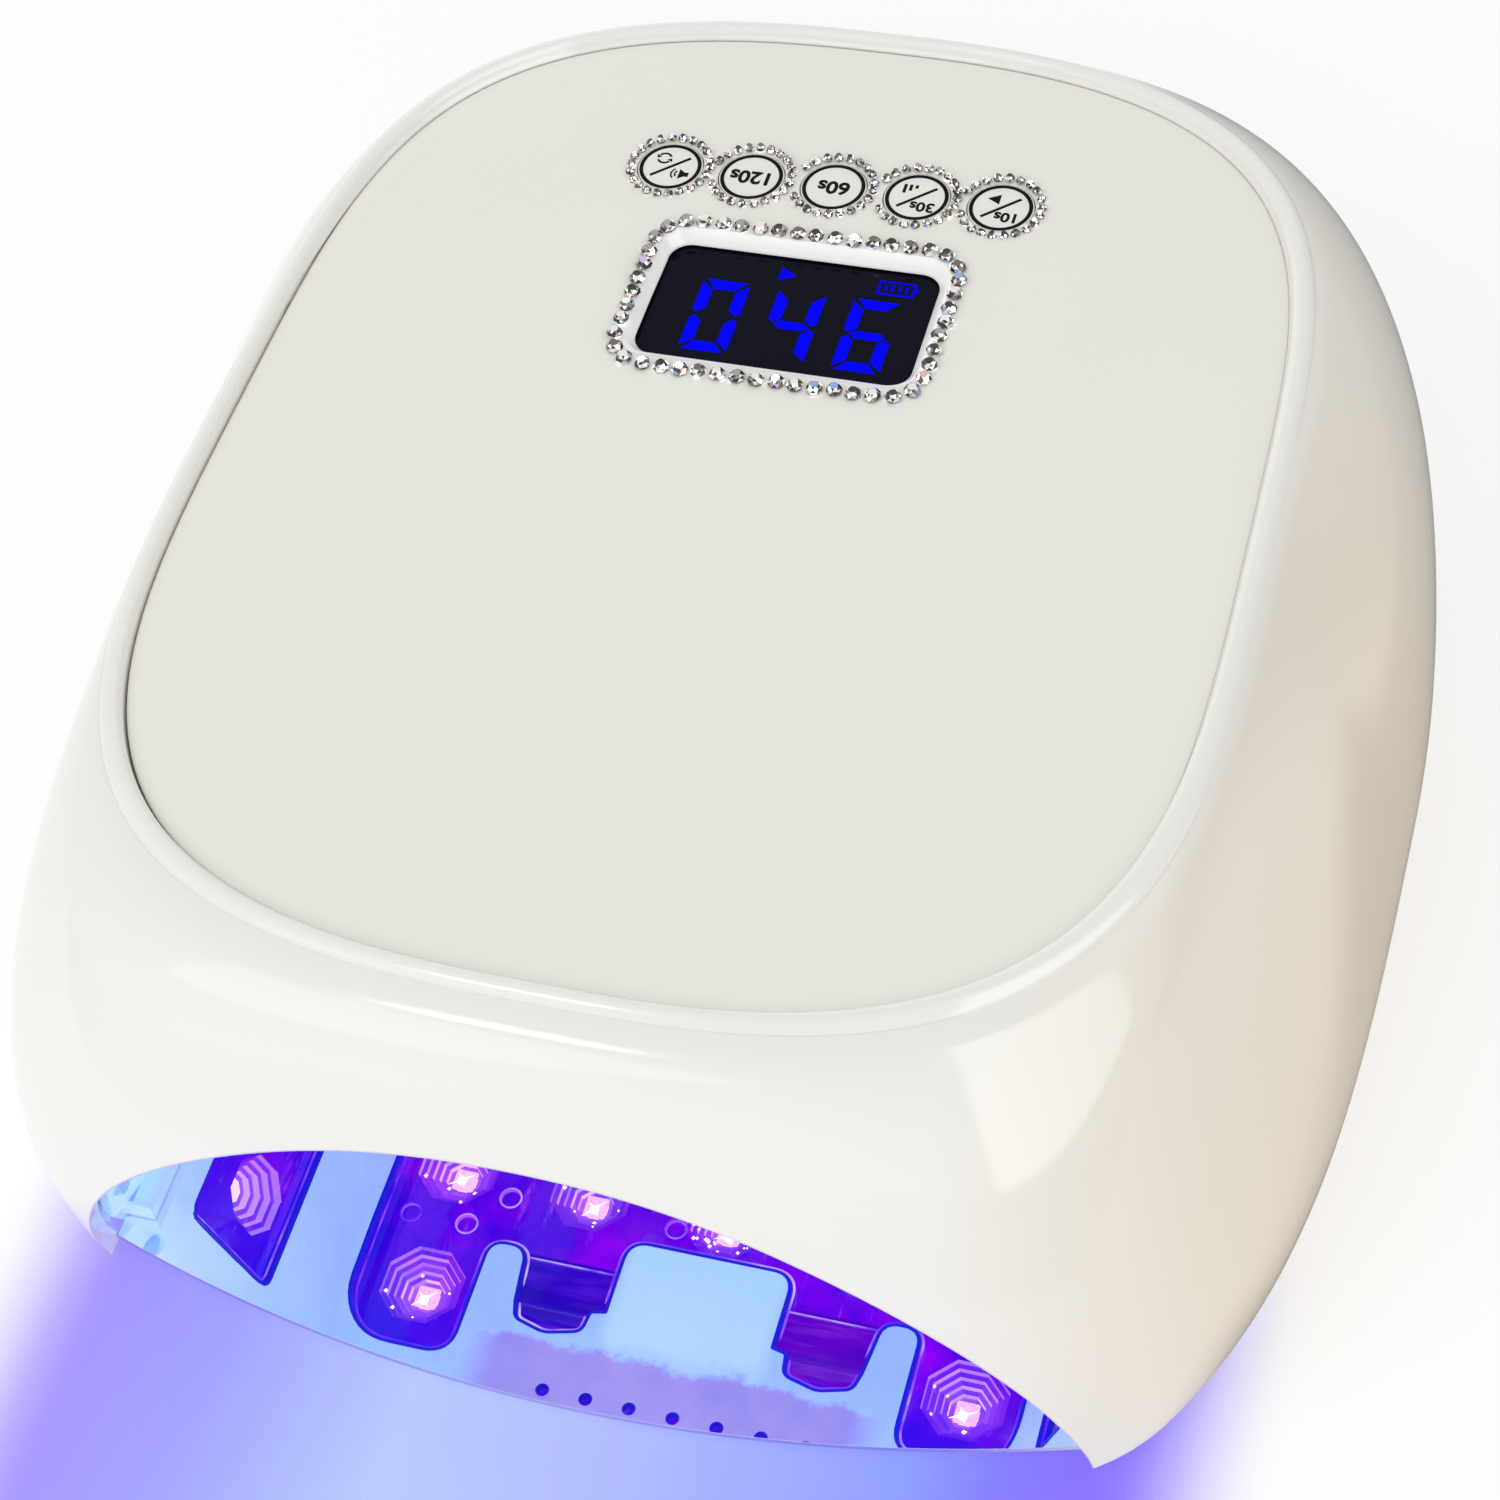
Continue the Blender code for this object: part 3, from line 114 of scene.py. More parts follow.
def ease(start, end, x):
    """0 at start, 1 at end, smooth between."""
    t = min(1.0, max(0.0, (x - start) / (end - start)))
    return t * t * (3 - 2 * t)


def lamp_y(y):
    """Object coordinate, in metres, of a y counted from the feet line."""
    return (y - SHIFT_Y) * MM


def in_mm(point):
    """Object coordinates turned back into the counts used here."""
    return point.x / MM, point.y / MM + SHIFT_Y, point.z / MM


# ------------------------------------------------------------------ shader graphs
FALL = (1.0, 0.0)
BLACK = (0.0, 0.0, 0.0)
MAT = {}


class Graph:
    """Short calls for building a node tree that ends in one shader node."""

    def __init__(self, tree, shader, space):
        self.tree = tree
        self.shader = tree.nodes[shader]
        self.vec = self.add("ShaderNodeTexCoord").outputs[space]

    def feed(self, socket, value):
        """Set a socket to a number, vector or colour, or link another socket to it."""
        if isinstance(value, (float, int)):
            socket.default_value = value
        elif isinstance(value, tuple):
            socket.default_value = (*value, 1.0) if socket.type == "RGBA" else value
        else:
            self.tree.links.new(value, socket)

    def add(self, kind, inputs=None, **settings):
        node = self.tree.nodes.new(kind)
        for key, value in settings.items():
            setattr(node, key, value)
        for key, value in (inputs or {}).items():
            self.feed(node.inputs[key], value)
        return node

    def set(self, inputs):
        for key, value in inputs.items():
            self.feed(self.shader.inputs[key], value)

    def axes(self):
        return tuple(self.add("ShaderNodeSeparateXYZ", {0: self.vec}).outputs)

    def stretched(self, scale, turn=0.0):
        """Texture coordinates scaled per axis and turned about z by some degrees."""
        inputs = {"Vector": self.vec, "Rotation": (0.0, 0.0, math.radians(turn)), "Scale": scale}
        return self.add("ShaderNodeMapping", inputs).outputs["Vector"]

    def noise(self, scale, detail=3.0, rough=0.55, at=None):
        inputs = {"Vector": at or self.vec, "Scale": scale, "Detail": detail, "Roughness": rough}
        return self.add("ShaderNodeTexNoise", inputs).outputs["Fac"]

    def painted(self, name):
        """Colour attribute stored on the mesh."""
        return self.add("ShaderNodeAttribute", attribute_name=name).outputs["Color"]

    def ramp(self, value, stops):
        """Colour ramp; stops are (position, colour)."""
        node = self.add("ShaderNodeValToRGB", {"Fac": value})
        elements = node.color_ramp.elements
        while len(elements) < len(stops):
            elements.new(0.5)
        for element, (position, colour) in zip(elements, stops):
            element.position = position
            element.color = (*colour, 1.0)
        return node.outputs["Color"]

    def remap(self, value, over=(0.0, 1.0), to=(0.0, 1.0), **settings):
        """Carry the range over onto the range to."""
        inputs = {"From Min": over[0], "From Max": over[1], "To Min": to[0], "To Max": to[1],
                  "Value": value}
        return self.add("ShaderNodeMapRange", inputs, **settings).outputs["Result"]

    def ease(self, value, start, end):
        """0 at start and 1 at end, eased; start may be the larger one."""
        over, to = ((end, start), FALL) if start > end else ((start, end), (0.0, 1.0))
        return self.remap(value, over, to, interpolation_type="SMOOTHERSTEP")

    def mix(self, factor, a, b, blend="MIX"):
        inputs = {0: factor, 6: a, 7: b}
        return self.add("ShaderNodeMix", inputs, data_type="RGBA", blend_type=blend).outputs[2]

    def math(self, operation, *values):
        return self.add("ShaderNodeMath", dict(enumerate(values)), operation=operation).outputs[0]

    def times(self, *values):
        return reduce(lambda a, b: self.math("MULTIPLY", a, b), values)

    def bump(self, height, depth_mm, strength=1.0, bevel_mm=0.0):
        """Surface relief, over edges eased by a bevel if one is given."""
        inputs = {"Strength": strength, "Distance": depth_mm * MM, "Height": height}
        if bevel_mm:
            bevel = self.add("ShaderNodeBevel", {"Radius": bevel_mm * MM}, samples=6)
            inputs["Normal"] = bevel.outputs["Normal"]
        self.set({"Normal": self.add("ShaderNodeBump", inputs).outputs["Normal"]})

    def finish(self, colour, rough, bump_mm, bump_scale, spread, bevel_mm=0.0, at=None):
        """Slightly drifting colour, faint handling marks, a fine skin and eased edges."""
        dark = tuple(c * (1.0 - spread) for c in colour)
        light = tuple(min(1.0, c * (1.0 + spread * 0.6)) for c in colour)
        drift = self.noise(scale=14.0, detail=4.0, at=at)
        base = self.ramp(drift, ((0.3, dark), (0.7, light)))
        marks = self.noise(scale=60.0, detail=6.0, rough=0.7, at=at)
        roughness = self.remap(marks, over=(0.3, 0.7), to=(rough * 0.82, rough * 1.25))
        self.set({"Base Color": base, "Roughness": roughness})
        self.bump(self.noise(bump_scale, detail=2.0, at=at), bump_mm, bevel_mm=bevel_mm)
        return base


def material(name):
    """New material, kept in MAT; returns the graph to fill."""
    made = bpy.data.materials.new(name)
    made.use_nodes = True
    MAT[name] = made
    return Graph(made.node_tree, "Principled BSDF", "Object")


# ------------------------------------------------------------------ plain materials
PANEL_WHITE = (0.875, 0.868, 0.805)
PLASTICS = (
    # name, colour, roughness, skin depth mm, skin scale, edge bevel mm, colour spread
    ("panel_white_gloss", PANEL_WHITE, 0.10, 0.010, 70.0, 0.25, 0.01),
    ("button_white", PANEL_WHITE, 0.14, 0.004, 200.0, 0.15, 0.01),
    ("recess_white_painted_glow", (0.93, 0.93, 0.90), 0.12, 0.006, 120.0, 0.2, 0.01),
    ("print_black", (0.004, 0.004, 0.0045), 0.5, 0.01, 1500.0, 0.0, 0.3),
    ("black_plastic", (0.022, 0.022, 0.024), 0.38, 0.02, 1200.0, 0.2, 0.15),
    ("foot_rubber", (0.03, 0.03, 0.031), 0.75, 0.05, 900.0, 0.0, 0.25),
    ("frame_white", (0.74, 0.73, 0.70), 0.34, 0.02, 1100.0, 0.3, 0.03),
    ("circuit_board", (0.02, 0.16, 0.06), 0.35, 0.02, 400.0, 0.0, 0.2),
    ("cell_wrap", (0.05, 0.25, 0.45), 0.32, 0.02, 500.0, 0.0, 0.12),
    ("lead_black", (0.015, 0.015, 0.015), 0.5, 0.02, 900.0, 0.0, 0.3),
    ("led_board_white", (0.75, 0.75, 0.78), 0.35, 0.02, 600.0, 0.0, 0.05),
    ("crystal_carrier", (0.78, 0.78, 0.76), 0.2, 0.01, 700.0, 0.0, 0.05),  # a spare, on no piece
    ("sensor_window_painted_glow", (0.32, 0.48, 0.90), 0.3, 0.01, 900.0, 0.0, 0.1),
)
PLASTIC_EXTRAS = {
    # painted light: a faint glow on the flared walls of the display recess
    "recess_white_painted_glow": {"Emission Color": (1.0, 1.0, 1.0), "Emission Strength": 0.10},
    "print_black": {"Specular IOR Level": 0.08},
    # painted glow: the sensor window shines blue like the lit cavity round it
    "sensor_window_painted_glow": {"Emission Color": (0.20, 0.40, 1.0), "Emission Strength": 0.45},
}
METALS = (
    # name, colour, roughness, stretch of the grain along y (0: none), colour spread
    ("switch_metal", (0.55, 0.55, 0.56), 0.3, 6.0, 0.04),
    ("steel_cut_edge", (0.62, 0.58, 0.80), 0.5, 0.0, 0.08),
)


def plastic_materials():
    for name, colour, rough, bump_mm, bump_scale, bevel_mm, spread in PLASTICS:
        g = material(name)
        g.finish(colour, rough, bump_mm, bump_scale, spread, bevel_mm)
        g.set({"Coat Roughness": 0.04, **PLASTIC_EXTRAS.get(name, {})})


def metal_materials():
    for name, colour, rough, brushed, spread in METALS:
        g = material(name)
        at = g.stretched((1.0, brushed, 1.0)) if brushed else None
        g.finish(colour, rough, bump_mm=0.002, bump_scale=1200.0, spread=spread, at=at)
        g.set({"Metallic": 1.0})


def housing_material():
    g = material("warm_white_gloss")
    x, y, z = g.axes()
    # painted warm shade: creamier on the right flank below the lip, less so towards the back
    flank_shade_mask = g.times(g.remap(x, over=(0.055, 0.1)), g.remap(z, over=(0.0780, 0.0814), to=FALL))
    warm_shade = g.times(flank_shade_mask, g.remap(y, over=(0.0, 0.09), to=(1.0, 0.35)))
    base = g.mix(warm_shade, (0.885, 0.875, 0.835), (0.82, 0.72, 0.57))
    # and painted grey shade, a little greyer towards the back of that flank
    base = g.mix(g.times(flank_shade_mask, g.remap(y, over=(0.02, 0.085))), base, (0.79, 0.77, 0.715))
    drift = g.remap(g.noise(scale=11.0, detail=4.0), over=(0.35, 0.65), to=(0.0, 0.05))
    base = g.mix(drift, base, (0.80, 0.785, 0.74))
    marks = g.noise(scale=48.0, detail=6.0, rough=0.7)
    g.set({"Base Color": base,
           "Roughness": g.remap(marks, over=(0.3, 0.7), to=(0.075, 0.13))})
    g.bump(g.noise(scale=70.0), depth_mm=0.015, strength=0.6, bevel_mm=0.6)


def window_material():
    g = material("smoked_window")
    g.finish((0.0035, 0.0042, 0.012), rough=0.05, bump_mm=0.001, bump_scale=300.0,
             spread=0.25, bevel_mm=0.2)
    g.set({"Specular IOR Level": 0.06})


def digit_material():
    """Lit digit segment: even blue light, faintly clouded."""
    g = material("digit_blue")
    cloud = g.remap(g.noise(scale=500.0, detail=2.0), over=(0.3, 0.7), to=(0.0, 0.25))
    g.set({"Emission Color": g.mix(cloud, (0.0, 0.0, 1.0), (0.0, 0.0, 0.75)),
           "Emission Strength": 1.0,
           "Base Color": (0.0, 0.0, 0.02),
           "Specular IOR Level": 0.02,
           "Roughness": 0.3})


def crystal_material():
    """Foil-backed cut glass: every facet has its own tone, a painted reflection, and some flash
    with painted sparkle.
    """
    g = material("crystal")
    g.set({"Base Color": g.painted("facet"),
           "Roughness": g.remap(g.noise(scale=900.0, detail=2.0), to=(0.02, 0.07)),
           "Metallic": 0.85,
           "Coat Weight": 1.0,
           "Coat Roughness": 0.02,
           "Emission Color": g.painted("painted_sparkle"),
           "Emission Strength": 1.0})


def liner_material():
    g = material("liner_lit_blue")
    # the liner's emission is painted glow standing in for the light of the LEDs
    base = g.finish((0.50, 0.62, 0.90), rough=0.38, bump_mm=0.02, bump_scale=800.0,
                    spread=0.05, bevel_mm=0.3)
    x, y, _ = g.axes()
    # painted glow: the strip in front of the lens turns from sky blue to a greyer lavender
    wobble = g.remap(g.noise(scale=170.0, detail=6.0, rough=0.7), to=(-0.0042, 0.0042))
    y = g.math("ADD", y, wobble)
    off_centre = g.math("ABSOLUTE", x)
    band = g.remap(y, over=(lamp_y(26.0), lamp_y(27.2)), to=FALL)
    strip = g.times(band, g.remap(off_centre, over=(0.030, 0.036), to=FALL))
    mottle = g.noise(scale=130.0, detail=5.0, rough=0.65)
    lavender = g.ramp(mottle, ((0.3, (0.25, 0.23, 0.59)), (0.7, (0.40, 0.34, 0.64))))
    sky = g.ramp(mottle, ((0.3, (0.20, 0.42, 1.0)), (0.7, (0.28, 0.50, 1.0))))
    # painted glow: the tongue between the two pockets is the brightest
    tongue = g.times(g.remap(off_centre, over=(0.0125, 0.0155), to=FALL),
                     g.remap(y, over=(lamp_y(25.5), lamp_y(29.5))))
    sky = g.mix(tongue, sky, (0.40, 0.74, 1.0))
    g.set({"Emission Color": g.mix(strip, sky, lavender),
           "Emission Strength": 0.62,
           "Base Color": g.mix(strip, base, (0.34, 0.29, 0.57))})


def rim_material():
    g = material("opening_rim_blue")
    base = g.finish((0.012, 0.010, 0.42), rough=0.3, bump_mm=0.02, bump_scale=500.0, spread=0.25)
    # painted shade and glow: the cut walls and edges of the openings are a dark blue lit by
    # emission
    g.set({"Emission Color": base, "Emission Strength": 0.75, "Specular IOR Level": 0.2})


def lens_material():
    """Clear moulding lit from behind, that light painted as emission, with extra light painted on
    the mesh as glow.
    """
    g = material("violet_lens")
    g.finish((0.05, 0.004, 0.35), rough=0.06, bump_mm=0.03, bump_scale=260.0, spread=0.2)
    body = g.ramp(g.noise(scale=60.0, detail=4.0, rough=0.62), (
        (0.32, (0.015, 0.0, 0.62)), (0.46, (0.09, 0.0, 0.66)),
        (0.56, (0.20, 0.0, 0.72)), (0.70, (0.36, 0.0, 0.86))))
    # bluer at the front, more violet deeper in
    bluer = g.remap(g.axes()[1], over=(lamp_y(22.0), lamp_y(40.0)), to=(0.75, 0.0))
    body = g.mix(bluer, body, (0.012, 0.006, 0.72))
    # fine painted highlight streaks caught in the moulding
    streak = g.noise(scale=420.0, detail=4.0, rough=0.65,
                     at=g.stretched((1.0, 0.22, 1.0), turn=28.0))
    streak = g.ramp(streak, (
        (0.60, BLACK), (0.70, (0.16, 0.03, 0.12)), (0.80, (0.7, 0.4, 0.6))))
    body = g.mix(1.0, body, streak, "ADD")
    g.set({"Emission Color": g.mix(1.0, body, g.painted("glow"), "ADD"),
           "Emission Strength": 0.75,
           "Specular IOR Level": 0.35})


def deep_lens_material():
    """Shaded part of the lens moulding, in the two pockets."""
    g = material("violet_lens_deep")
    g.finish((0.02, 0.004, 0.22), rough=0.1, bump_mm=0.03, bump_scale=260.0, spread=0.2)
    cloud = g.noise(scale=300.0, detail=4.0, rough=0.6, at=g.stretched((0.15, 1.0, 1.0)))
    blue = g.ramp(cloud, (
        (0.3, (0.008, 0.0, 0.30)), (0.55, (0.03, 0.0, 0.50)), (0.72, (0.10, 0.01, 0.62))))
    red = g.ramp(cloud, (
        (0.3, (0.06, 0.0, 0.40)), (0.55, (0.15, 0.0, 0.52)), (0.72, (0.30, 0.03, 0.66))))
    rightward = g.remap(g.axes()[0], over=(-0.02, 0.02))
    g.set({"Emission Color": g.mix(rightward, blue, red),
           "Emission Strength": 0.8,
           "Specular IOR Level": 0.25})


def bead_material():
    g = material("lens_bead")
    g.finish((0.06, 0.01, 0.5), rough=0.05, bump_mm=0.02, bump_scale=300.0, spread=0.2)
    # painted highlight: the bead glows from violet to a pinkish white line
    light = g.ramp(g.noise(scale=55.0, rough=0.7), (
        (0.36, (0.06, 0.0, 0.75)), (0.52, (0.30, 0.08, 0.85)), (0.66, (0.85, 0.65, 1.0))))
    g.set({"Emission Color": light, "Emission Strength": 0.8})


def emitter_material():
    g = material("emitter_lit")
    dust = g.remap(g.noise(scale=1800.0), over=(0.3, 0.7), to=(0.75, 1.15))
    g.set({"Emission Color": g.painted("glow"),
           "Emission Strength": dust,
           "Base Color": (0.3, 0.1, 0.6),
           "Roughness": g.remap(dust, to=(0.2, 0.4))})


def mirror_material():
    g = material("mirror_steel")
    base = g.ramp(g.noise(scale=9.0), ((0.3, (0.90, 0.90, 0.93)), (0.7, (0.95, 0.95, 0.97))))
    marks = g.noise(scale=35.0, detail=6.0, rough=0.75)
    g.set({"Metallic": 1.0,
           "Base Color": base,
           "Roughness": g.remap(marks, over=(0.45, 0.75), to=(0.0, 0.035))})
    g.bump(g.noise(scale=30.0, detail=2.0), depth_mm=0.004, strength=0.25)


for build in (housing_material, plastic_materials, metal_materials, window_material,
              digit_material, crystal_material, liner_material, rim_material, lens_material,
              deep_lens_material, bead_material, emitter_material, mirror_material):
    build()


# ------------------------------------------------------------------ objects and cuts
def new_object(name, bm):
    """Object in metres from a mesh in millimetres, its faces turned outwards."""
    bmesh.ops.recalc_face_normals(bm, faces=bm.faces[:])
    if bm.calc_volume(signed=True) < 0.0:
        bmesh.ops.reverse_faces(bm, faces=bm.faces[:])
    for v in bm.verts:
        v.co = Vector((v.co.x * MM, (v.co.y - SHIFT_Y) * MM, v.co.z * MM))
    mesh = bpy.data.meshes.new(name)
    bm.to_mesh(mesh)
    bm.free()
    ob = bpy.data.objects.new(name, mesh)
    bpy.context.scene.collection.objects.link(ob)
    return ob


def shade(mesh, sharp):
    """Smooth shading with edges over this many degrees kept sharp; None leaves it flat."""
    if sharp is not None:
        mesh.shade_smooth()
        mesh.set_sharp_from_angle(angle=math.radians(sharp))


def make(name, bm, materials, replaces=None, body=LAMP, sharp=35.0):
    """Finished piece; materials is one name or a tuple of names."""
    ob = new_object(name, bm)
    for key in (materials,) if isinstance(materials, str) else materials:
        ob.data.materials.append(MAT[key])
    shade(ob.data, sharp)
    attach(ob, body)
    if replaces:
        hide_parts(replaces)
    return ob


def carve(ob, cuts, sharp=35.0):
    """Apply exact Booleans, given as (operation, bmesh), and keep the resulting mesh."""
    tools, modifiers = [], []
    for operation, bm in cuts:
        tools.append(new_object("tool", bm))
        modifier = ob.modifiers.new(operation.lower(), "BOOLEAN")
        modifier.operation = operation
        modifier.solver = "EXACT"
        modifier.object = tools[-1]
        modifiers.append(modifier)
    depsgraph = bpy.context.evaluated_depsgraph_get()
    depsgraph.update()
    mesh = bpy.data.meshes.new_from_object(ob.evaluated_get(depsgraph))
    for modifier in modifiers:
        ob.modifiers.remove(modifier)
    old = ob.data
    ob.data = mesh
    mesh.name = old.name
    bpy.data.meshes.remove(old)
    for tool in tools:
        tool_mesh = tool.data
        bpy.data.objects.remove(tool, do_unlink=True)
        bpy.data.meshes.remove(tool_mesh)
    shade(mesh, sharp)


def paint(ob, name, colours):
    """One colour per face, stored on the mesh."""
    attribute = ob.data.attributes.new(name, "FLOAT_COLOR", "CORNER")
    for face, colour in zip(ob.data.polygons, colours):
        for loop in face.loop_indices:
            attribute.data[loop].color = (*colour, 1.0)


# ------------------------------------------------------------------ flat outlines
def at_z(outline, z):
    return [(x, y, z) for x, y in outline]


def at_y(section, y):
    return [(x, y, z) for x, z in section]


def circle(cx, cy, r, n, start=0.0):
    angles = [start + 2 * math.pi * i / n for i in range(n)]
    return [(cx + r * math.cos(a), cy + r * math.sin(a)) for a in angles]


def rectangle(x0, y0, x1, y1):
    return [(x0, y0), (x1, y0), (x1, y1), (x0, y1)]


def round_rect(cx, cy, half_x, half_y, r, n):
    """Rounded rectangle with n points on each corner."""
    points = []
    for sx, sy, first in ((1, 1, 0), (-1, 1, 90), (-1, -1, 180), (1, -1, 270)):
        for k in range(n):
            a = math.radians(first + 90.0 * k / (n - 1))
            points.append((cx + sx * (half_x - r) + r * math.cos(a),
                           cy + sy * (half_y - r) + r * math.sin(a)))
    return points


def fillet(outline, radii, n):
    """Round every corner of a closed outline; nearly straight corners stay."""
    out = []
    count = len(outline)
    for i in range(count):
        corner = Vector(outline[i])
        a, b = Vector(outline[i - 1]) - corner, Vector(outline[(i + 1) % count]) - corner
        len_a, len_b = a.length, b.length
        a, b = a / len_a, b / len_b
        angle = math.acos(max(-1.0, min(1.0, a.dot(b))))
        if angle > math.radians(176):
            out.append((corner.x, corner.y))
            continue
        d = min(radii[i] / math.tan(angle / 2), 0.48 * len_a, 0.48 * len_b)
        start, end = corner + a * d, corner + b * d
        for k in range(n + 1):
            t = k / n
            q = start * (1 - t) ** 2 + corner * 2 * t * (1 - t) + end * t * t
            out.append((q.x, q.y))
    return out


def winding(outline):
    """1 for a counter-clockwise outline, -1 for a clockwise one."""
    area = sum(x0 * y1 - x1 * y0
               for (x0, y0), (x1, y1) in zip(outline, outline[1:] + outline[:1]))
    return 1.0 if area > 0 else -1.0


def inset(outline, distance, mitre=False):
    """Closed outline moved inwards; mitre keeps the distance to both edges of a corner."""
    sign = winding(outline)
    out = []
    for i in range(len(outline)):
        x, y = outline[i]
        a = (Vector(outline[i]) - Vector(outline[i - 1])).normalized()
        b = (Vector(outline[(i + 1) % len(outline)]) - Vector(outline[i])).normalized()
        t = (a + b).normalized()
        normal = Vector((-t.y, t.x)) * sign
        k = max(0.5, normal.dot(Vector((-a.y, a.x)) * sign)) if mitre else 1.0
        out.append((x + normal.x * distance / k, y + normal.y * distance / k))
    return out


def dense(outline, step=1.2):
    """Same outline with long straight runs divided."""
    out = []
    for i in range(len(outline)):
        a, b = Vector(outline[i]), Vector(outline[(i + 1) % len(outline)])
        k = max(1, int((b - a).length / step))
        out += [tuple(a.lerp(b, j / k)) for j in range(k)]
    return out


def edge_distance(outline, x, y):
    best = 1e9
    for (ax, ay), (bx, by) in zip(outline, outline[1:] + outline[:1]):
        dx, dy = bx - ax, by - ay
        t = max(0.0, min(1.0, ((x - ax) * dx + (y - ay) * dy) / (dx * dx + dy * dy + 1e-12)))
        best = min(best, math.hypot(ax + t * dx - x, ay + t * dy - y))
    return best


def with_mirror(right):
    """Right half of an outline, followed by its mirror image."""
    return right + [(-x, y) for x, y in reversed(right)]


# ------------------------------------------------------------------ solids; each returns its bmesh
def loft(bm, rings, torus=False):
    """Skin through rings of equal count, with end caps or closed on itself."""
    rows = [[bm.verts.new(p) for p in ring] for ring in rings]
    n = len(rows[0])
    pairs = list(zip(rows, rows[1:]))
    if torus:
        pairs.append((rows[-1], rows[0]))
    for a, b in pairs:
        for i in range(n):
            j = (i + 1) % n
            bm.faces.new((a[i], a[j], b[j], b[i]))
    if not torus:
        bm.faces.new(rows[0])
        bm.faces.new(list(reversed(rows[-1])))
    return bm


def prism(bm, outline, z0, z1, rounding=0.0):
    """Straight-sided solid, its two rims eased by the rounding."""
    if not rounding:
        return loft(bm, [at_z(outline, z0), at_z(outline, z1)])
    tight = inset(outline, rounding, mitre=True)
    middle = inset(outline, rounding * 0.3, mitre=True)
    return loft(bm, [
        at_z(tight, z0), at_z(middle, z0 + rounding * 0.3), at_z(outline, z0 + rounding),
        at_z(outline, z1 - rounding), at_z(middle, z1 - rounding * 0.3), at_z(tight, z1)])


def turned(bm, cx, cy, profile, n, start=0.0):
    """Upright solid of revolution; profile is (radius, z)."""
    return loft(bm, [at_z(circle(cx, cy, r, n, start), z) for r, z in profile])


def rod(bm, start, end, r, n):
    start, end = Vector(start), Vector(end)
    along = (end - start).normalized()
    u = along.orthogonal().normalized()
    w = along.cross(u)
    ring = [u * math.cos(2 * math.pi * i / n) + w * math.sin(2 * math.pi * i / n)
            for i in range(n)]
    return loft(bm, [[start + q * r for q in ring], [end + q * r for q in ring]])


def bead_loop(bm, points, r, n=8):
    """Closed round bead along a loop of points."""
    path = [Vector(p) for p in points]
    rings = []
    for i, p in enumerate(path):
        along = (path[(i + 1) % len(path)] - path[i - 1]).normalized()
        w = along.cross(Vector((0, 0, 1))).normalized()
        u = w.cross(along).normalized()
        angles = [2 * math.pi * k / n for k in range(n)]
        rings.append([p + u * r * math.cos(a) + w * r * math.sin(a) for a in angles])
    return loft(bm, rings, torus=True)


# ------------------------------------------------------------------ body outlines
def outline_point(psi, half_w, front, back, front_powers, back_powers, taper=0.0):
    """Point of a rounded outline in direction psi, about (0, CENTRE_Y).

    Each pair of powers is (in x, in y); the taper narrows the outline towards the back.
    """
    c, s = math.cos(psi), math.sin(psi)
    depth, (n, m) = (back, back_powers) if s >= 0 else (front, front_powers)
    lo, hi = 0.0, 2.0 * max(half_w, front, back)
    for _ in range(44):
        r = 0.5 * (lo + hi)
        if abs(r * c / half_w) ** n + abs(r * s / depth) ** m < 1.0:
            lo = r
        else:
            hi = r
    x, y = r * c, r * s
    return x * (1.0 - taper * y / depth), y + CENTRE_Y


@lru_cache(maxsize=None)
def panel_edge(psi, grow=0.0):
    return outline_point(
        psi, PANEL_HALF_W + grow, CENTRE_Y - PANEL_Y_FRONT + grow, PANEL_Y_BACK - CENTRE_Y + grow,
        front_powers=(2.8, 3.75), back_powers=(2.63, 3.88), taper=0.02)


@lru_cache(maxsize=None)
def waist_edge(psi, grow=0.0):
    return outline_point(
        psi, BODY_HALF_W + grow, CENTRE_Y - BODY_Y_FRONT + grow, BODY_Y_BACK - CENTRE_Y + grow,
        front_powers=(5.6, 3.25), back_powers=(3.6, 2.02))


def panel_z(y):
    """Top of the crowned panel."""
    return PANEL_Z - PANEL_CROWN * (y - CENTRE_Y) ** 2


def off_front(psi):
    """Degrees between the direction psi and straight to the front."""
    return abs(math.degrees(math.atan2(math.cos(psi), -math.sin(psi))))


def frontness(psi):
    return 1.0 - ease(18.0, 62.0, off_front(psi))


def wall_powers(psi):
    """Swell of the wall from lip to waist: full in front and behind, flatter at the sides."""
    w = frontness(psi)
    corner = math.exp(-((off_front(psi) - 48.0) / 20.0) ** 2)
    rear = ease(85.0, 125.0, off_front(psi))
    p = 1.22 + 0.98 * w - 0.15 * corner
    q = 1.10 + 1.10 * w + 0.15 * corner
    return p + (2.39 - p) * rear, q + (1.18 - q) * rear


def wall_point(psi, s, inner=False):
    """Point of the wall; s runs from 0 at the lip to 1 at the waist."""
    p, q = wall_powers(psi)
    if inner:
        x0, y0 = panel_edge(psi, 0.9)
        z0 = DECK_TOP - DECK_T
        x1, y1 = waist_edge(psi, -WALL)
    else:
        x0, y0 = panel_edge(psi, 3.35)
        z0 = panel_z(y0) + 0.2 + 0.7 * frontness(psi)
        x1, y1 = waist_edge(psi)
    f = (1.0 - (1.0 - s) ** p) ** (1.0 / q)
    return x0 + (x1 - x0) * f, y0 + (y1 - y0) * f, z0 + (WAIST_Z - z0) * s


def under_point(psi, u, inner=False):
    """Point between waist (u = 0) and rim (u = 1), drawn in towards the foot."""
    foot_inset = 1.5 + 3.5 * ease(33.0, 55.0, off_front(psi))
    x, y = waist_edge(psi, -foot_inset * u * u - (WALL if inner else 0.0))
    return x, y, WAIST_Z + (RIM_Z - WAIST_Z) * u


DIRECTIONS = [2 * math.pi * (i + 0.5) / RING_POINTS for i in range(RING_POINTS)]

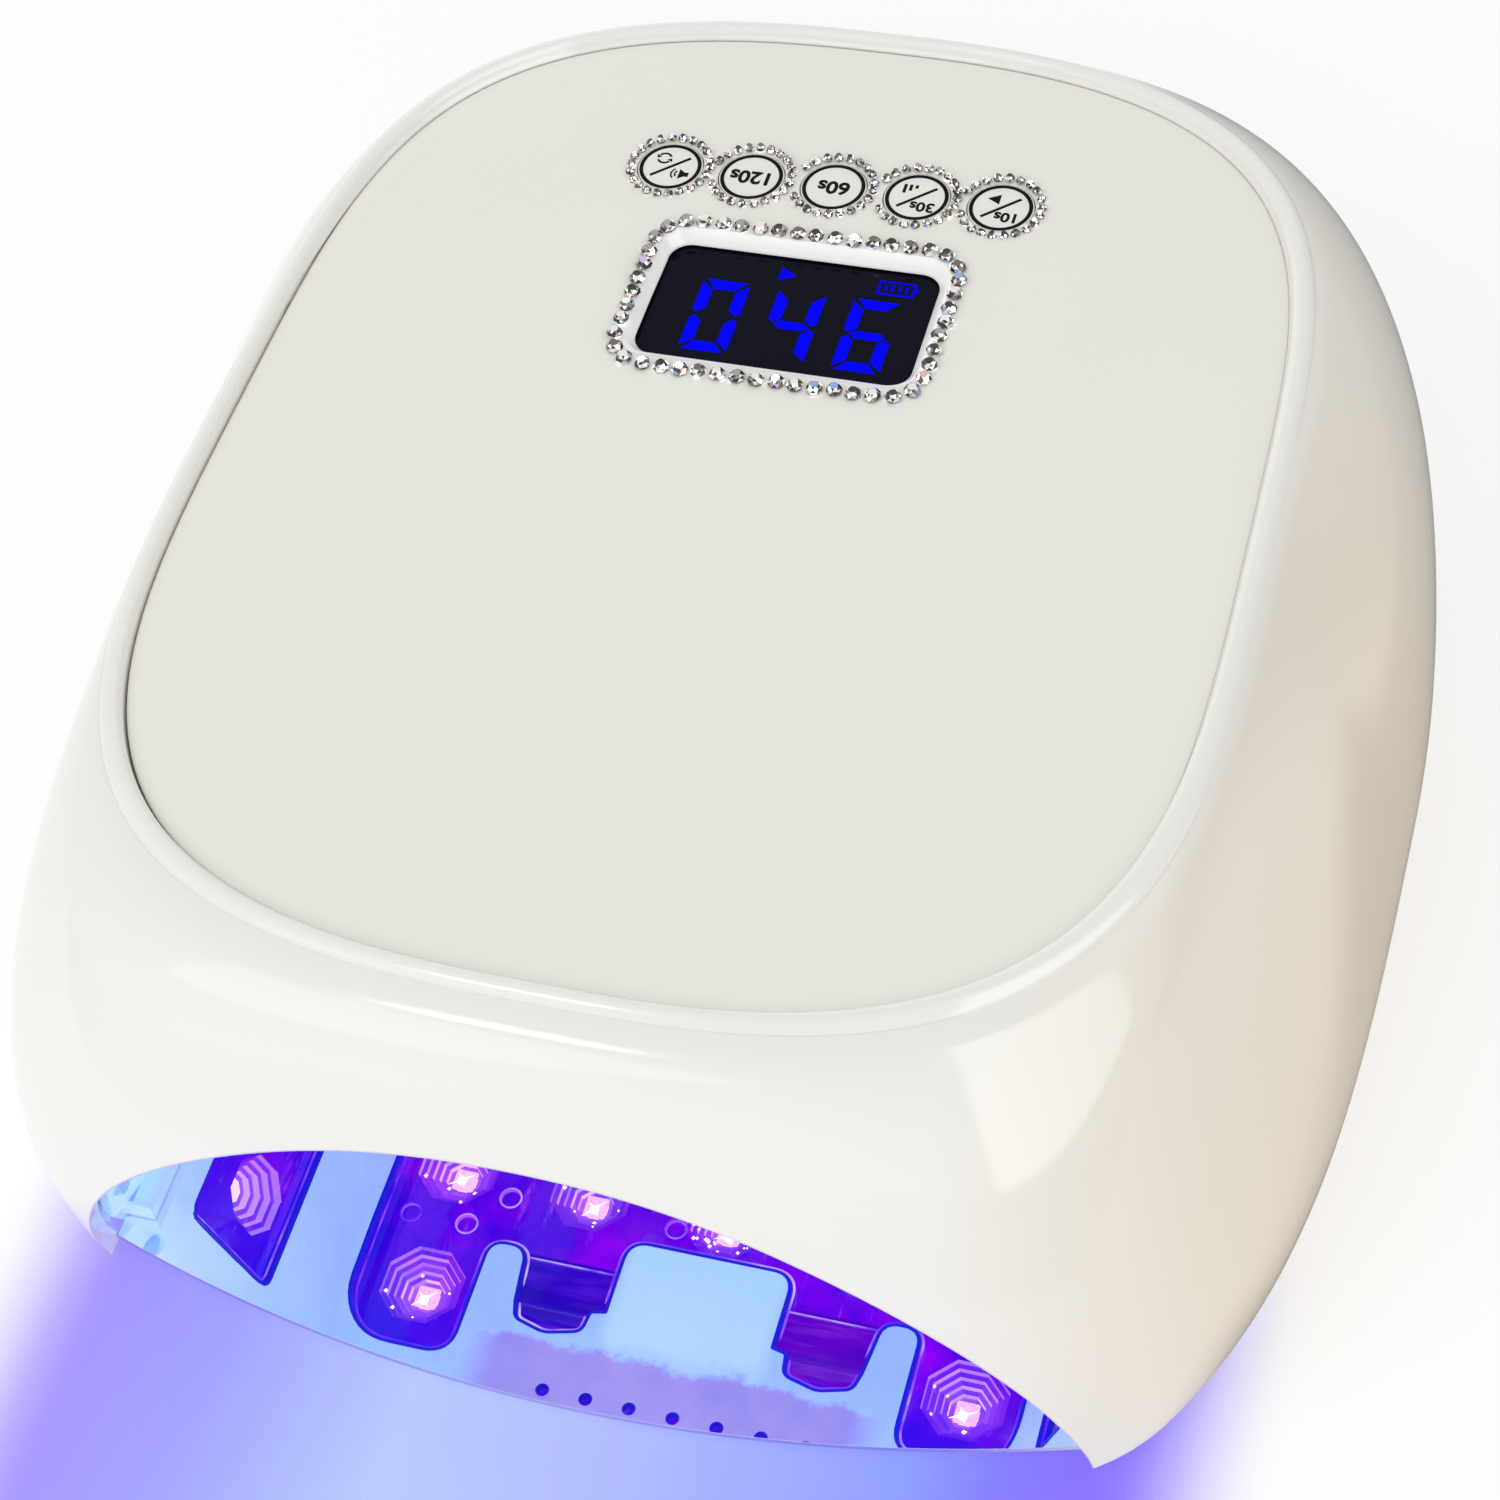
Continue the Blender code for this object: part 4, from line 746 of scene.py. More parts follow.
# ------------------------------------------------------------------ housing shell
LIP = (          # growth beyond the panel edge, height over the panel
    (-3.0, -PANEL_T - GAP), (GAP, -PANEL_T - GAP), (GAP, 0.02), (GAP, 0.045), (GAP, 0.065),
    (GAP, 0.8), (0.42, 1.45), (0.75, 1.85), (1.2, 2.05), (1.75, 2.08), (2.3, 1.9),
    (2.75, 1.55), (3.1, 1.1),
)
LIP_FOOT_ROLL = {0.045: 0.70, 0.065: 0.75}          # height over the panel: inward roll


def lip_point(psi, grow, height):
    if height in LIP_FOOT_ROLL:
        # behind and on the right the foot of the lip lies over the joint line
        turn = math.sin(psi) + 0.55 * math.cos(psi)
        roll = LIP_FOOT_ROLL[height] * ease(-0.35, 0.15, turn)
    else:
        # on the right the lip is rolled in a little, close over the edge of the panel
        roll = (0.34 * ease(0.1, 0.55, math.cos(psi)) * ease(0.2, 0.8, height)
                * (1.0 - ease(1.5, 2.05, height)))
    x, y = panel_edge(psi, grow - (round(roll, 3) if grow < 1.0 else 0.0))
    if grow > 2.5:
        height += (0.55 * frontness(psi) - 0.1) * (grow - 2.5) / 0.6
    return x, y, panel_z(y) + height


def deck_hole_point(psi):
    c, s = math.cos(psi), math.sin(psi)
    (half_x, half_y), power = DECK_HOLE_HALF, DECK_HOLE_POWER
    r = (abs(c / half_x) ** power + abs(s / half_y) ** power) ** (-1.0 / power)
    return r * c, DECK_HOLE_Y + r * s


def shell_mesh():
    """Closed skin: lip, outer wall, rim, inner wall and the deck under the panel."""
    rings = [[lip_point(a, grow, height) for a in DIRECTIONS] for grow, height in LIP]
    for k in range(41):
        rings.append([wall_point(a, (k / 40) ** 1.75) for a in DIRECTIONS])
    for k in range(1, 9):
        rings.append([under_point(a, k / 8) for a in DIRECTIONS])
    for u in (1.0, 0.66, 0.33):
        rings.append([under_point(a, u, inner=True) for a in DIRECTIONS])
    for k in range(12, -1, -1):
        rings.append([wall_point(a, (k / 12.0) ** 1.4, inner=True) for a in DIRECTIONS])
    hole = [deck_hole_point(a) for a in DIRECTIONS]
    rings.append(at_z(hole, DECK_TOP - DECK_T))
    rings.append(at_z(hole, DECK_TOP))
    rings.append(at_z([panel_edge(a, -3.3) for a in DIRECTIONS], DECK_TOP))
    return loft(bmesh.new(), rings, torus=True)


def arch_section(n=140, foot=-6.0):
    """Hand opening as (x, z), carried below the rim."""
    points = []
    for i in range(n + 1):
        c, s = math.cos(math.pi * i / n), math.sin(math.pi * i / n)
        points.append((ARCH_HALF_W * math.copysign(abs(c) ** (2 / 2.2), c),
                       ARCH_H * abs(s) ** (2 / 2.1)))
    points[0] = (ARCH_HALF_W, 0.0)
    points[-1] = (-ARCH_HALF_W, 0.0)
    return [(ARCH_HALF_W, foot)] + points + [(-ARCH_HALF_W, foot)]


def build_housing():
    shell = make("housing_shell", shell_mesh(), "warm_white_gloss",
                 replaces="top_housing")
    arch = arch_section()
    socket_ends = [(SOCKET_X, y, REAR_Z) for y in REAR_CUT_Y]
    switch = round_rect(SWITCH_X, REAR_Z, 9.8, 6.6, 1.2, 6)
    carve(shell, [
        ("DIFFERENCE", loft(bmesh.new(), [at_y(arch, y) for y in (-40.0, 11.0)])),
        ("DIFFERENCE", rod(bmesh.new(), *socket_ends, 4.6, 48)),
        ("DIFFERENCE", loft(bmesh.new(), [at_y(switch, y) for y in REAR_CUT_Y])),
    ])


build_housing()

# ------------------------------------------------------------------ top panel
DISPLAY_Z = panel_z(DISPLAY_Y)
KEY_Z = panel_z(BUTTON_Y)
PANEL_RIM = (          # growth of the edge, height against the panel top
    (-0.6, 0.0), (-0.3, -0.06), (-0.1, -0.2), (0.0, -0.45), (0.0, -PANEL_T),
)
DISPLAY_RECESS = (          # growth of the flared opening, height against the panel top
    (3.2, 1.0), (2.5, 0.12), (2.0, -0.08), (1.55, -0.35), (1.2, -0.7), (0.7, -1.3),
    (0.25, -1.9), (0.0, -2.3), (0.0, -PANEL_T - 1.2),
)
RECESS_SHIFT = 0.35          # the opening is wider to the left and shorter to the front


def panel_mesh():
    def field(share, drop=0.0):
        """Ring at this share of the way from the centre to the edge."""
        ring = [(x * share, CENTRE_Y + (y - CENTRE_Y) * share)
                for x, y in (panel_edge(a) for a in DIRECTIONS)]
        return [(x, y, panel_z(y) - drop) for x, y in ring]

    rings = [field(share) for share in (0.12, 0.25, 0.4, 0.55, 0.7, 0.82, 0.91, 0.96)]
    for grow, height in PANEL_RIM:
        edge = [panel_edge(a, grow) for a in DIRECTIONS]
        rings.append([(x, y, panel_z(y) + height) for x, y in edge])
    rings += [field(share, PANEL_T) for share in (0.82, 0.4)]
    return loft(bmesh.new(), rings)


def build_panel():
    panel = make("panel_cover", panel_mesh(), "panel_white_gloss",
                 replaces="top_panel")
    rings = []
    for grow, height in DISPLAY_RECESS:
        ring = round_rect(-RECESS_SHIFT, DISPLAY_Y + RECESS_SHIFT,
                          DISPLAY_HALF[0] + RECESS_SHIFT + grow,
                          DISPLAY_HALF[1] - RECESS_SHIFT + grow, DISPLAY_R + grow * 0.8, 12)
        rings.append(at_z(ring, DISPLAY_Z + height))
    cuts = [("DIFFERENCE", loft(bmesh.new(), rings))]
    hole = [(BUTTON_HOLE_R, KEY_Z - 6), (BUTTON_HOLE_R, KEY_Z + 3)]
    cuts += [("DIFFERENCE", turned(bmesh.new(), x, BUTTON_Y, hole, 64)) for x in BUTTON_X]
    carve(panel, cuts)
    # the flared edge of the display recess gets a lighter white and a faint painted glow, so it is
    # brighter than the field around it
    panel.data.materials.append(MAT["recess_white_painted_glow"])
    for face in panel.data.polygons:
        x, y, _ = in_mm(face.center)
        if abs(face.normal.z) < 0.97 and abs(x) < 26.0 and abs(y - DISPLAY_Y) < 16.5:
            face.material_index = 1


build_panel()

# ------------------------------------------------------------------ display glass and digits
GLASS_Z = DISPLAY_Z - PANEL_T - GAP - 0.35
DIGIT_TOP = GLASS_Z + 0.03
DIGIT_LAYER = (DIGIT_TOP - 0.06, DIGIT_TOP)
DIGITS = ((-11.5, "abcdef"), (0.6, "bcfg"), (12.5, "acdefg"))          # x, lit segments
DIGIT_Y, DIGIT_HALF_W, DIGIT_HALF_H = 138.5, 3.8, 7.45
SEGMENT_T, SEGMENT_GAP = 1.95, 0.42


def digit_segments(cx, lit):
    """Outlines of the lit segments of one seven-segment digit."""
    t, g = SEGMENT_T, SEGMENT_GAP
    x0, x1 = cx - DIGIT_HALF_W, cx + DIGIT_HALF_W
    y0, ym, y1 = DIGIT_Y - DIGIT_HALF_H, DIGIT_Y, DIGIT_Y + DIGIT_HALF_H

    def end_bar(y, d):
        """Front or back bar, its inner edge moved by d."""
        return [(x0 + 0.15 + g, y), (x1 - 0.15 - g, y),
                (x1 - t - g * 0.6, y + d), (x0 + t + g * 0.6, y + d)]

    def side_bar(x, d, y, s):
        """Bar from the corner at y to the middle; s is its side of the middle."""
        return [(x, y - s * (0.15 + g)), (x + d, y - s * (t + g * 0.6)),
                (x + d, ym + s * (t * 0.5 + g)), (x + d * 0.4, ym + s * g * 0.8),
                (x, ym + s * (t * 0.25 + g))]

    h = t * 0.42
    tip, shoulder = 0.55 + g, t * 0.8 + g
    middle_bar = [(x0 + tip, ym), (x0 + shoulder, ym + h), (x1 - shoulder, ym + h),
                  (x1 - tip, ym), (x1 - shoulder, ym - h), (x0 + shoulder, ym - h)]
    shapes = {
        "a": end_bar(y1, -t), "d": end_bar(y0, t), "g": middle_bar,
        "f": side_bar(x0, t, y1, 1), "b": side_bar(x1, -t, y1, 1),
        "e": side_bar(x0, t, y0, -1), "c": side_bar(x1, -t, y0, -1),
    }
    return [shapes[key] for key in lit]


def build_display():
    glass = round_rect(0, DISPLAY_Y, DISPLAY_HALF[0] + 1.8, DISPLAY_HALF[1] + 1.8, 4.0, 10)
    make("display_glass", prism(bmesh.new(), glass, GLASS_Z - 1.2, GLASS_Z, 0.15),
         "smoked_window", replaces="display_window", sharp=18.0)

    shapes = [shape for cx, lit in DIGITS for shape in digit_segments(cx, lit)]
    shapes.append([(-4.0, 147.4), (-1.4, 148.9), (-4.0, 150.4)])          # programme mark
    # battery: frame, four bars and terminal
    x0, y0, x1, y1, line = 11.6, 147.4, 17.4, 150.3, 0.32
    shapes += [rectangle(x0, y0, x1, y0 + line), rectangle(x0, y1 - line, x1, y1),
               rectangle(x0, y0 + line, x0 + line, y1 - line),
               rectangle(x1 - line, y0 + line, x1, y1 - line)]
    shapes += [rectangle(12.65 + k * 1.1, 148.2, 13.05 + k * 1.1, 149.6) for k in range(4)]
    shapes.append(rectangle(x1, 148.3, x1 + 0.45, 149.4))
    bm = bmesh.new()
    for shape in shapes:
        prism(bm, shape, *DIGIT_LAYER)
    make("display_digits", bm, "digit_blue", sharp=None)


build_display()

# ------------------------------------------------------------------ crystals
# painted reflections: facet tones from near black through brown and grey to white, and coloured
# flashes
FACET_REFLECTION_TONES = (          # upper end of the draw, colour
    (0.40, (0.035, 0.028, 0.026)), (0.58, (0.20, 0.15, 0.125)), (0.74, (0.42, 0.41, 0.40)),
    (1.01, (0.97, 0.96, 0.94)),
)
FACET_FLASH_REFLECTIONS = ((0.30, 0.50, 0.95), (0.95, 0.55, 0.40), (0.80, 0.6, 0.9))
STONE_LIFT = 0.12


def rounded_path(cy, half_x, half_y, r, count, offset):
    """Evenly spaced points clockwise round a rounded rectangle centred on x = 0."""
    quarter = 0.5 * math.pi * r
    in_x, in_y = half_x - r, half_y - r
    run_x, run_y = 2 * in_x, 2 * in_y
    total = 2 * (run_x + run_y) + 4 * quarter
    # start of a straight and its direction, or centre of a corner and its first angle
    legs = [((-in_x, cy + half_y), (1, 0), run_x), ((in_x, cy + in_y), 90.0, quarter),
            ((half_x, cy + in_y), (0, -1), run_y), ((in_x, cy - in_y), 0.0, quarter),
            ((in_x, cy - half_y), (-1, 0), run_x), ((-in_x, cy - in_y), -90.0, quarter),
            ((-half_x, cy - in_y), (0, 1), run_y), ((-in_x, cy + in_y), -180.0, quarter)]
    points = []
    for k in range(count):
        d = (total * (k + offset) / count) % total
        for (x, y), way, length in legs:
            if d > length:
                d -= length
                continue
            if isinstance(way, tuple):
                points.append((x + way[0] * d, y + way[1] * d))
            else:
                a = math.radians(way - 90.0 * d / length)
                points.append((x + r * math.cos(a), y + r * math.sin(a)))
            break
    return points


def facet_colours(key, i):
    """Painted reflection tint and painted sparkle light of one facet."""
    tone, flash = hash01(key, 7, i), hash01(key, 11, i)
    tint = next(colour for limit, colour in FACET_REFLECTION_TONES if tone < limit)
    if flash > 0.955:
        return FACET_FLASH_REFLECTIONS[int(flash * 1000) % 3], BLACK
    return tint, (1.3, 1.3, 1.28) if flash > 0.86 else BLACK


def stone(bm, cx, cy, r, z0, h, key, n=8):
    """Brilliant-cut flat-back stone, a little turned and tipped; returns its facet colours."""
    turn = hash01(key, 1) * math.pi
    tip = Vector(((hash01(key, 2) - 0.5) * 0.22, (hash01(key, 3) - 0.5) * 0.22))

    def ring(radius, z, half=0.0):
        verts = []
        for k in range(n):
            a = turn + 2 * math.pi * (k + half) / n
            x, y = radius * math.cos(a), radius * math.sin(a)
            rise = x * tip.x + y * tip.y if z > z0 + 0.01 else 0.0
            verts.append(bm.verts.new((cx + x, cy + y, z + rise)))
        return verts

    base = ring(r * 0.92, z0)
    girdle = ring(r, z0 + h * 0.28)
    middle = ring(r * 0.78, z0 + h * 0.68, 0.5)
    table = ring(r * 0.5, z0 + h)
    for k in range(n):
        j = (k + 1) % n
        bm.faces.new((base[k], base[j], girdle[j], girdle[k]))
        bm.faces.new((girdle[k], girdle[j], middle[k]))
        bm.faces.new((middle[k], girdle[j], middle[j]))
        bm.faces.new((middle[k - 1], middle[k], table[k]))
        bm.faces.new((middle[k], table[j], table[k]))
    bm.faces.new(table)
    bm.faces.new(list(reversed(base)))
    return [facet_colours(key, i) for i in range(5 * n + 2)]


def build_stones(name, replaces, stones):
    """One object of many stones, each (x, y, radius, foot z, height, key)."""
    bm = bmesh.new()
    colours = [pair for row in stones for pair in stone(bm, *row)]
    ob = make(name, bm, "crystal", replaces=replaces, sharp=None)
    paint(ob, "facet", [tint for tint, _ in colours])
    paint(ob, "painted_sparkle", [painted_sparkle for _, painted_sparkle in colours])


def display_stones():
    stones = []
    path = rounded_path(DISPLAY_Y - 0.55, 24.25, 15.6, 5.8, count=50, offset=0.3)
    for k, (x, y) in enumerate(path):
        dx, dy = (hash01(k, 21) - 0.5) * 0.22, (hash01(k, 22) - 0.5) * 0.22
        stones.append((x + dx, y + dy, 1.28 + 0.08 * hash01(k, 5), panel_z(y) + STONE_LIFT,
                       1.15, 100 + k))
    return stones


def button_stones():
    """Rings round the keys; stones that would crowd a neighbouring ring are left out."""
    ring_r, spacing = 6.35, 1.42
    stones = []
    for i, x in enumerate(BUTTON_X):
        for k in range(22):
            a = 2 * math.pi * (k + 0.35 + 0.3 * i) / 22
            px, py = x + ring_r * math.cos(a), BUTTON_Y + ring_r * math.sin(a)
            if any((px - s[0]) ** 2 + (py - s[1]) ** 2 < spacing ** 2 for s in stones):
                continue
            key = 500 + len(stones)
            stones.append((px, py, 0.76 + 0.06 * hash01(key, 5), KEY_Z + STONE_LIFT, 0.85, key))
    return stones


build_stones("display_stones", "display_crystal_trim", display_stones())
build_stones("button_stones", "button_crystal_trim", button_stones())

# ------------------------------------------------------------------ buttons with printed marks
PRINT = (KEY_Z - 0.02, KEY_Z + 0.035)          # z of the printed layer
CAP_PROFILE = (          # radius, z
    (1.5, PLUNGER_TOP + GAP), (1.5, KEY_Z - PANEL_T - 1.4), (6.0, KEY_Z - PANEL_T - 1.4),
    (6.0, KEY_Z - PANEL_T - 0.6), (BUTTON_R, KEY_Z - PANEL_T - 0.6),
    (BUTTON_R + 0.13, KEY_Z - 1.2), (BUTTON_R + 0.13, KEY_Z - 0.13),
    (BUTTON_R + 0.09, KEY_Z - 0.04), (BUTTON_R, KEY_Z), (BUTTON_R - 2.0, KEY_Z), (0.8, KEY_Z),
)


def print_text(bm, text, cx, cy, size, stretch=1.0):
    """Printed figures as thin solids, reading from the back of the lamp."""
    curve = bpy.data.curves.new("figures", "FONT")
    curve.body = text
    curve.size = size
    curve.align_x = "CENTER"
    curve.align_y = "CENTER"
    curve.resolution_u = 6
    curve.extrude = 0.5
    curve.offset = 0.030 * size
    ob = bpy.data.objects.new("figures", curve)
    bpy.context.scene.collection.objects.link(ob)
    depsgraph = bpy.context.evaluated_depsgraph_get()
    mesh = bpy.data.meshes.new_from_object(ob.evaluated_get(depsgraph))
    figures = bmesh.new()
    figures.from_mesh(mesh)
    bmesh.ops.remove_doubles(figures, verts=figures.verts[:], dist=1e-5)
    z0, z1 = PRINT
    copies = {}
    for v in figures.verts:
        z = z1 if v.co.z > 0 else z0
        copies[v] = bm.verts.new((cx - v.co.x * stretch, cy - v.co.y, z))
    for face in figures.faces:
        # merging close points may leave two faces on the same corners; one is enough
        try:
            bm.faces.new([copies[v] for v in face.verts])
        except ValueError:
            pass
    figures.free()
    bpy.data.objects.remove(ob, do_unlink=True)
    bpy.data.curves.remove(curve)
    bpy.data.meshes.remove(mesh)


def print_bar(bm, x0, y0, x1, y1, width):
    d = Vector((x1 - x0, y1 - y0)).normalized()
    n = Vector((-d.y, d.x)) * width * 0.5
    prism(bm, [(x0 + n.x, y0 + n.y), (x0 - n.x, y0 - n.y),
               (x1 - n.x, y1 - n.y), (x1 + n.x, y1 + n.y)], *PRINT)


def print_arc(bm, cx, cy, r, width, start, end, n=14):
    """Band between two angles in degrees."""
    angles = [math.radians(start + (end - start) * k / n) for k in range(n + 1)]
    outer, inner = [[(cx + q * math.cos(a), cy + q * math.sin(a)) for a in angles]
                    for q in (r + width / 2, r - width / 2)]
    prism(bm, outer + inner[::-1], *PRINT)


def print_ring(bm, cx, cy, r0, r1, n):
    inner, outer = circle(cx, cy, r0, n), circle(cx, cy, r1, n)
    z0, z1 = PRINT
    loft(bm, [at_z(inner, z0), at_z(outer, z0), at_z(outer, z1), at_z(inner, z1)], torus=True)


def print_speaker(bm, cx, cy):
    prism(bm, [(cx + 1.55, cy - 0.45), (cx + 0.85, cy - 0.45), (cx, cy - 1.1),
               (cx, cy + 1.1), (cx + 0.85, cy + 0.45), (cx + 1.55, cy + 0.45)], *PRINT)
    print_arc(bm, cx + 0.1, cy, 0.75, 0.26, 130.0, 230.0)
    print_arc(bm, cx + 0.1, cy, 1.35, 0.26, 132.0, 228.0)


def print_turning_arrows(bm, cx, cy, r=1.05):
    for start in (25.0, 205.0):
        print_arc(bm, cx, cy, r, 0.36, start, start + 120.0)
        a = math.radians(start + 128.0)
        out = Vector((math.cos(a), math.sin(a)))
        ahead = Vector((math.cos(a + math.pi / 2), math.sin(a + math.pi / 2)))
        head = Vector((cx, cy)) + out * r
        corners = (head + ahead * 0.62, head + out * 0.5, head - out * 0.5)
        prism(bm, [tuple(p) for p in corners], *PRINT)


def print_mesh(name, x):
    """Ring round the key and its mark; split keys carry a slash and two small marks."""
    y = BUTTON_Y
    bm = bmesh.new()
    print_ring(bm, x, y, 4.34, 4.96, 72)
    if name in ("120s", "60s"):
        print_text(bm, name, x, y, size=3.75)
        return bm
    print_bar(bm, x - 2.7, y - 2.35, x + 2.7, y + 2.35, 0.50)
    if name == "mode":
        print_speaker(bm, x + 1.75, y - 1.35)
        print_turning_arrows(bm, x - 1.45, y + 1.75)
        return bm
    print_text(bm, name, x + 1.25, y - 1.85, size=2.75, stretch=1.05)
    cx, cy = x - 1.5, y + 1.7
    if name == "30s":
        for k, length in enumerate((0.7, 1.3, 1.9)):
            bar_x = cx + 1.0 - k * 0.9
            print_bar(bm, bar_x, cy + 0.9, bar_x, cy + 0.9 - length, 0.5)
    else:
        prism(bm, [(cx + 1.0, cy + 1.1), (cx + 1.0, cy - 1.0), (cx - 0.95, cy + 0.05)], *PRINT)
    return bm


for name, x in zip(KEYS, BUTTON_X):
    make("key_cap_" + name, turned(bmesh.new(), x, BUTTON_Y, CAP_PROFILE, 72), "button_white",
         replaces="button_" + name, body="key_" + name)
    make("key_print_" + name, print_mesh(name, x), "print_black",
         body="key_" + name, sharp=None)


# ------------------------------------------------------------------ liner of the hand cavity
def wall_x(z, off=0.0):
    """Distance of the sloping cavity wall from the middle, off further out."""
    slope_run = (WALL_TOP_Z - z) * (WALL_FOOT_X - WALL_TOP_X) / (WALL_TOP_Z - LINER_FOOT_Z)
    return WALL_TOP_X + slope_run + off


def ceiling_height(x):
    """Inner surface of the cavity ceiling at this distance from the middle."""
    over = min(CORNER_R - 0.1, max(0.0, abs(x) - CORNER_X))
    return CEILING_Z - CORNER_R + math.sqrt(CORNER_R ** 2 - over ** 2)


def cavity_section(grow):
    """Cross-section of the cavity as (x, z), right foot to left foot."""
    half = []
    for k in range(9):
        z = LINER_FOOT_Z + (47.5 - LINER_FOOT_Z) * k / 8
        half.append((wall_x(z, grow), z))
    for k in range(11):
        a = math.radians(8 + 82.0 * k / 10)
        half.append((CORNER_X + (CORNER_R + grow) * math.cos(a),
                     CEILING_Z - CORNER_R + (CORNER_R + grow) * math.sin(a)))
    half += [(x, CEILING_Z + grow) for x in (42.0, 32.0, 21.0, 10.0)]
    return half + [(-x, z) for x, z in reversed(half)]


def mouth_section(grow):
    """Arch-shaped section with a point for each point of the cavity section."""
    out = []
    for x, z in cavity_section(0.0):
        a = math.atan2(z / ARCH_H, x / ARCH_HALF_W)
        c, s = math.cos(a), math.sin(a)
        r = (abs(c) ** 2.2 + abs(s) ** 2.1) ** -0.47
        out.append(((ARCH_HALF_W + grow) * r * c, max(LINER_FOOT_Z, (ARCH_H + grow) * r * s)))
    return out


def mouth_y(x, z):
    """Front edge of the liner, further back at the sides and the top."""
    return -3.3 + 8.6 * abs(x / 76.0) ** 3.0 + 6.6 * ease(38.0, 64.0, z)


LINER_STATIONS = (          # share of the way from mouth to cavity section, y
    (0.0, None), (0.12, None), (0.26, None), (0.4, None),          # None: follows the mouth
    (0.55, 10.0), (0.7, 11.8), (0.85, 13.8), (1.0, 16.0), (1.0, 60.0), (1.0, 120.0),
    (1.0, CAVITY_BACK),
)


def liner_row(bm, mouth, cavity, t, y, thickness=0.0):
    row = []
    for (mx, mz), (cx, cz) in zip(mouth, cavity):
        if y is None:
            front = mouth_y(mx, mz)
            py = front + (9.0 - front) * t / 0.5
        else:
            py = y + thickness if y == CAVITY_BACK else y
        row.append(bm.verts.new((mx + (cx - mx) * t, py, mz + (cz - mz) * t)))
    return row


def liner_mesh():
    """Inner and outer skins, open at the front and below, closed at the back."""
    bm = bmesh.new()
    sections = ((mouth_section(0.35), cavity_section(0.0)),
                (mouth_section(0.35 + LINER_T), cavity_section(LINER_T)))
    inner, outer = [[] for _ in sections]
    for rows, (mouth, cavity), thickness in zip((inner, outer), sections, (0.0, LINER_T)):
        for t, y in LINER_STATIONS:
            rows.append(liner_row(bm, mouth, cavity, t, y, thickness))

    def strip(a, b):
        for i in range(len(a) - 1):
            bm.faces.new((a[i], a[i + 1], b[i + 1], b[i]))

    for rows in (inner, outer):
        for a, b in zip(rows, rows[1:]):
            strip(a, b)
    strip(inner[0], outer[0])
    for end in (0, -1):
        strip([row[end] for row in inner], [row[end] for row in outer])
    bm.faces.new(inner[-1])
    bm.faces.new(outer[-1])
    bm.faces.new((inner[-1][0], inner[-1][-1], outer[-1][-1], outer[-1][0]))
    return bm


CEILING_OPENING = (          # right half, from the centre tongue round to the back: x, y, radius
    (14.1, 47.4, 3.4), (14.1, 33.7, 0.5), (16.6, 33.2, 0.5), (17.1, 29.4, 2.4),
    (23.5, 27.8, 5.0), (29.3, 29.4, 2.4), (30.2, 32.6, 1.5), (31.4, 42.3, 2.8),
    (37.3, 42.3, 2.8), (37.4, 20.4, 5.2), (57.4, 20.4, 10.5), (57.6, 40.0, 5.0),
    (57.4, 150.0, 6.0), (47.0, 169.0, 6.0), (34.0, 177.0, 4.0),
)
OPENING_RADII = [r for _, _, r in CEILING_OPENING]
OPENING = fillet(with_mirror([(x, y) for x, y, _ in CEILING_OPENING]),
                 OPENING_RADII + OPENING_RADII[::-1], 10)
SIDE_OPENING = fillet(rectangle(SIDE_Y[0], SIDE_Z[0], SIDE_Y[1], SIDE_Z[1]), [2.4] * 4, 5)


def on_wall(outline, side, off):
    """(y, z) outline laid on a side wall of the cavity, off further out."""
    return [(side * wall_x(z, off), y, z) for y, z in outline]


def is_cut_wall(face):
    """Whether a face of the liner is a cut wall of an opening or a vent."""
    x, y, z = in_mm(face.center)
    if (abs(x) > 60.0 and 13.0 < z < 36.0 and abs(face.normal.x) < 0.5
            and edge_distance(SIDE_OPENING, y, z) < 0.25):
        return True
    if z > 49.0 and abs(face.normal.z) < 0.35:
        in_vent = abs(y - VENT_Y) < 1.4 and min(abs(x - vent) for vent in VENT_X) < 1.4
        return in_vent or edge_distance(OPENING, x, y) < 0.25
    return False


def build_liner():
    liner = make("cavity_liner", liner_mesh(), ("liner_lit_blue", "opening_rim_blue"),
                 replaces="inner_liner")
    cuts = [prism(bmesh.new(), OPENING, CEILING_Z - 6.0, CEILING_Z + 8.0)]
    vent = [(VENT_R, CEILING_Z - 5), (VENT_R, CEILING_Z + 6)]
    cuts += [turned(bmesh.new(), x, VENT_Y, vent, 24) for x in VENT_X]
    for _, side in SIDES:
        cuts.append(loft(bmesh.new(), [on_wall(SIDE_OPENING, side, d) for d in (-6.0, 8.0)]))
        sensor_ends = [(side * x, SENSOR_Y, SENSOR_Z) for x in (60.0, 90.0)]
        cuts.append(rod(bmesh.new(), *sensor_ends, 1.9, 24))
    carve(liner, [("DIFFERENCE", bm) for bm in cuts], sharp=30.0)
    # the cut walls of the openings and vents take the painted shade
    for face in liner.data.polygons:
        if is_cut_wall(face):
            face.material_index = 1


build_liner()

# foot flanges of the liner, down to just above the sliding plate: sections (x, z), then y
FLANGE = [(74.2, 5.75), (71.6, 5.75), (70.9, 5.2), (70.9, 2.95), (71.25, 2.95), (71.25, 5.1),
          (74.2, 5.3)]
FLANGE_Y = (8.2, 9.0, 60.0, 120.0, 168.0)
FLANGE_END = [(79.2, 0.5), (76.15, 0.5), (76.15, 2.85), (70.95, 2.85), (70.9, 3.0), (70.9, 5.9),
              (71.3, 6.3), (79.2, 6.3)]
FLANGE_END_Y = (7.7, 7.8, 8.1, 8.19)

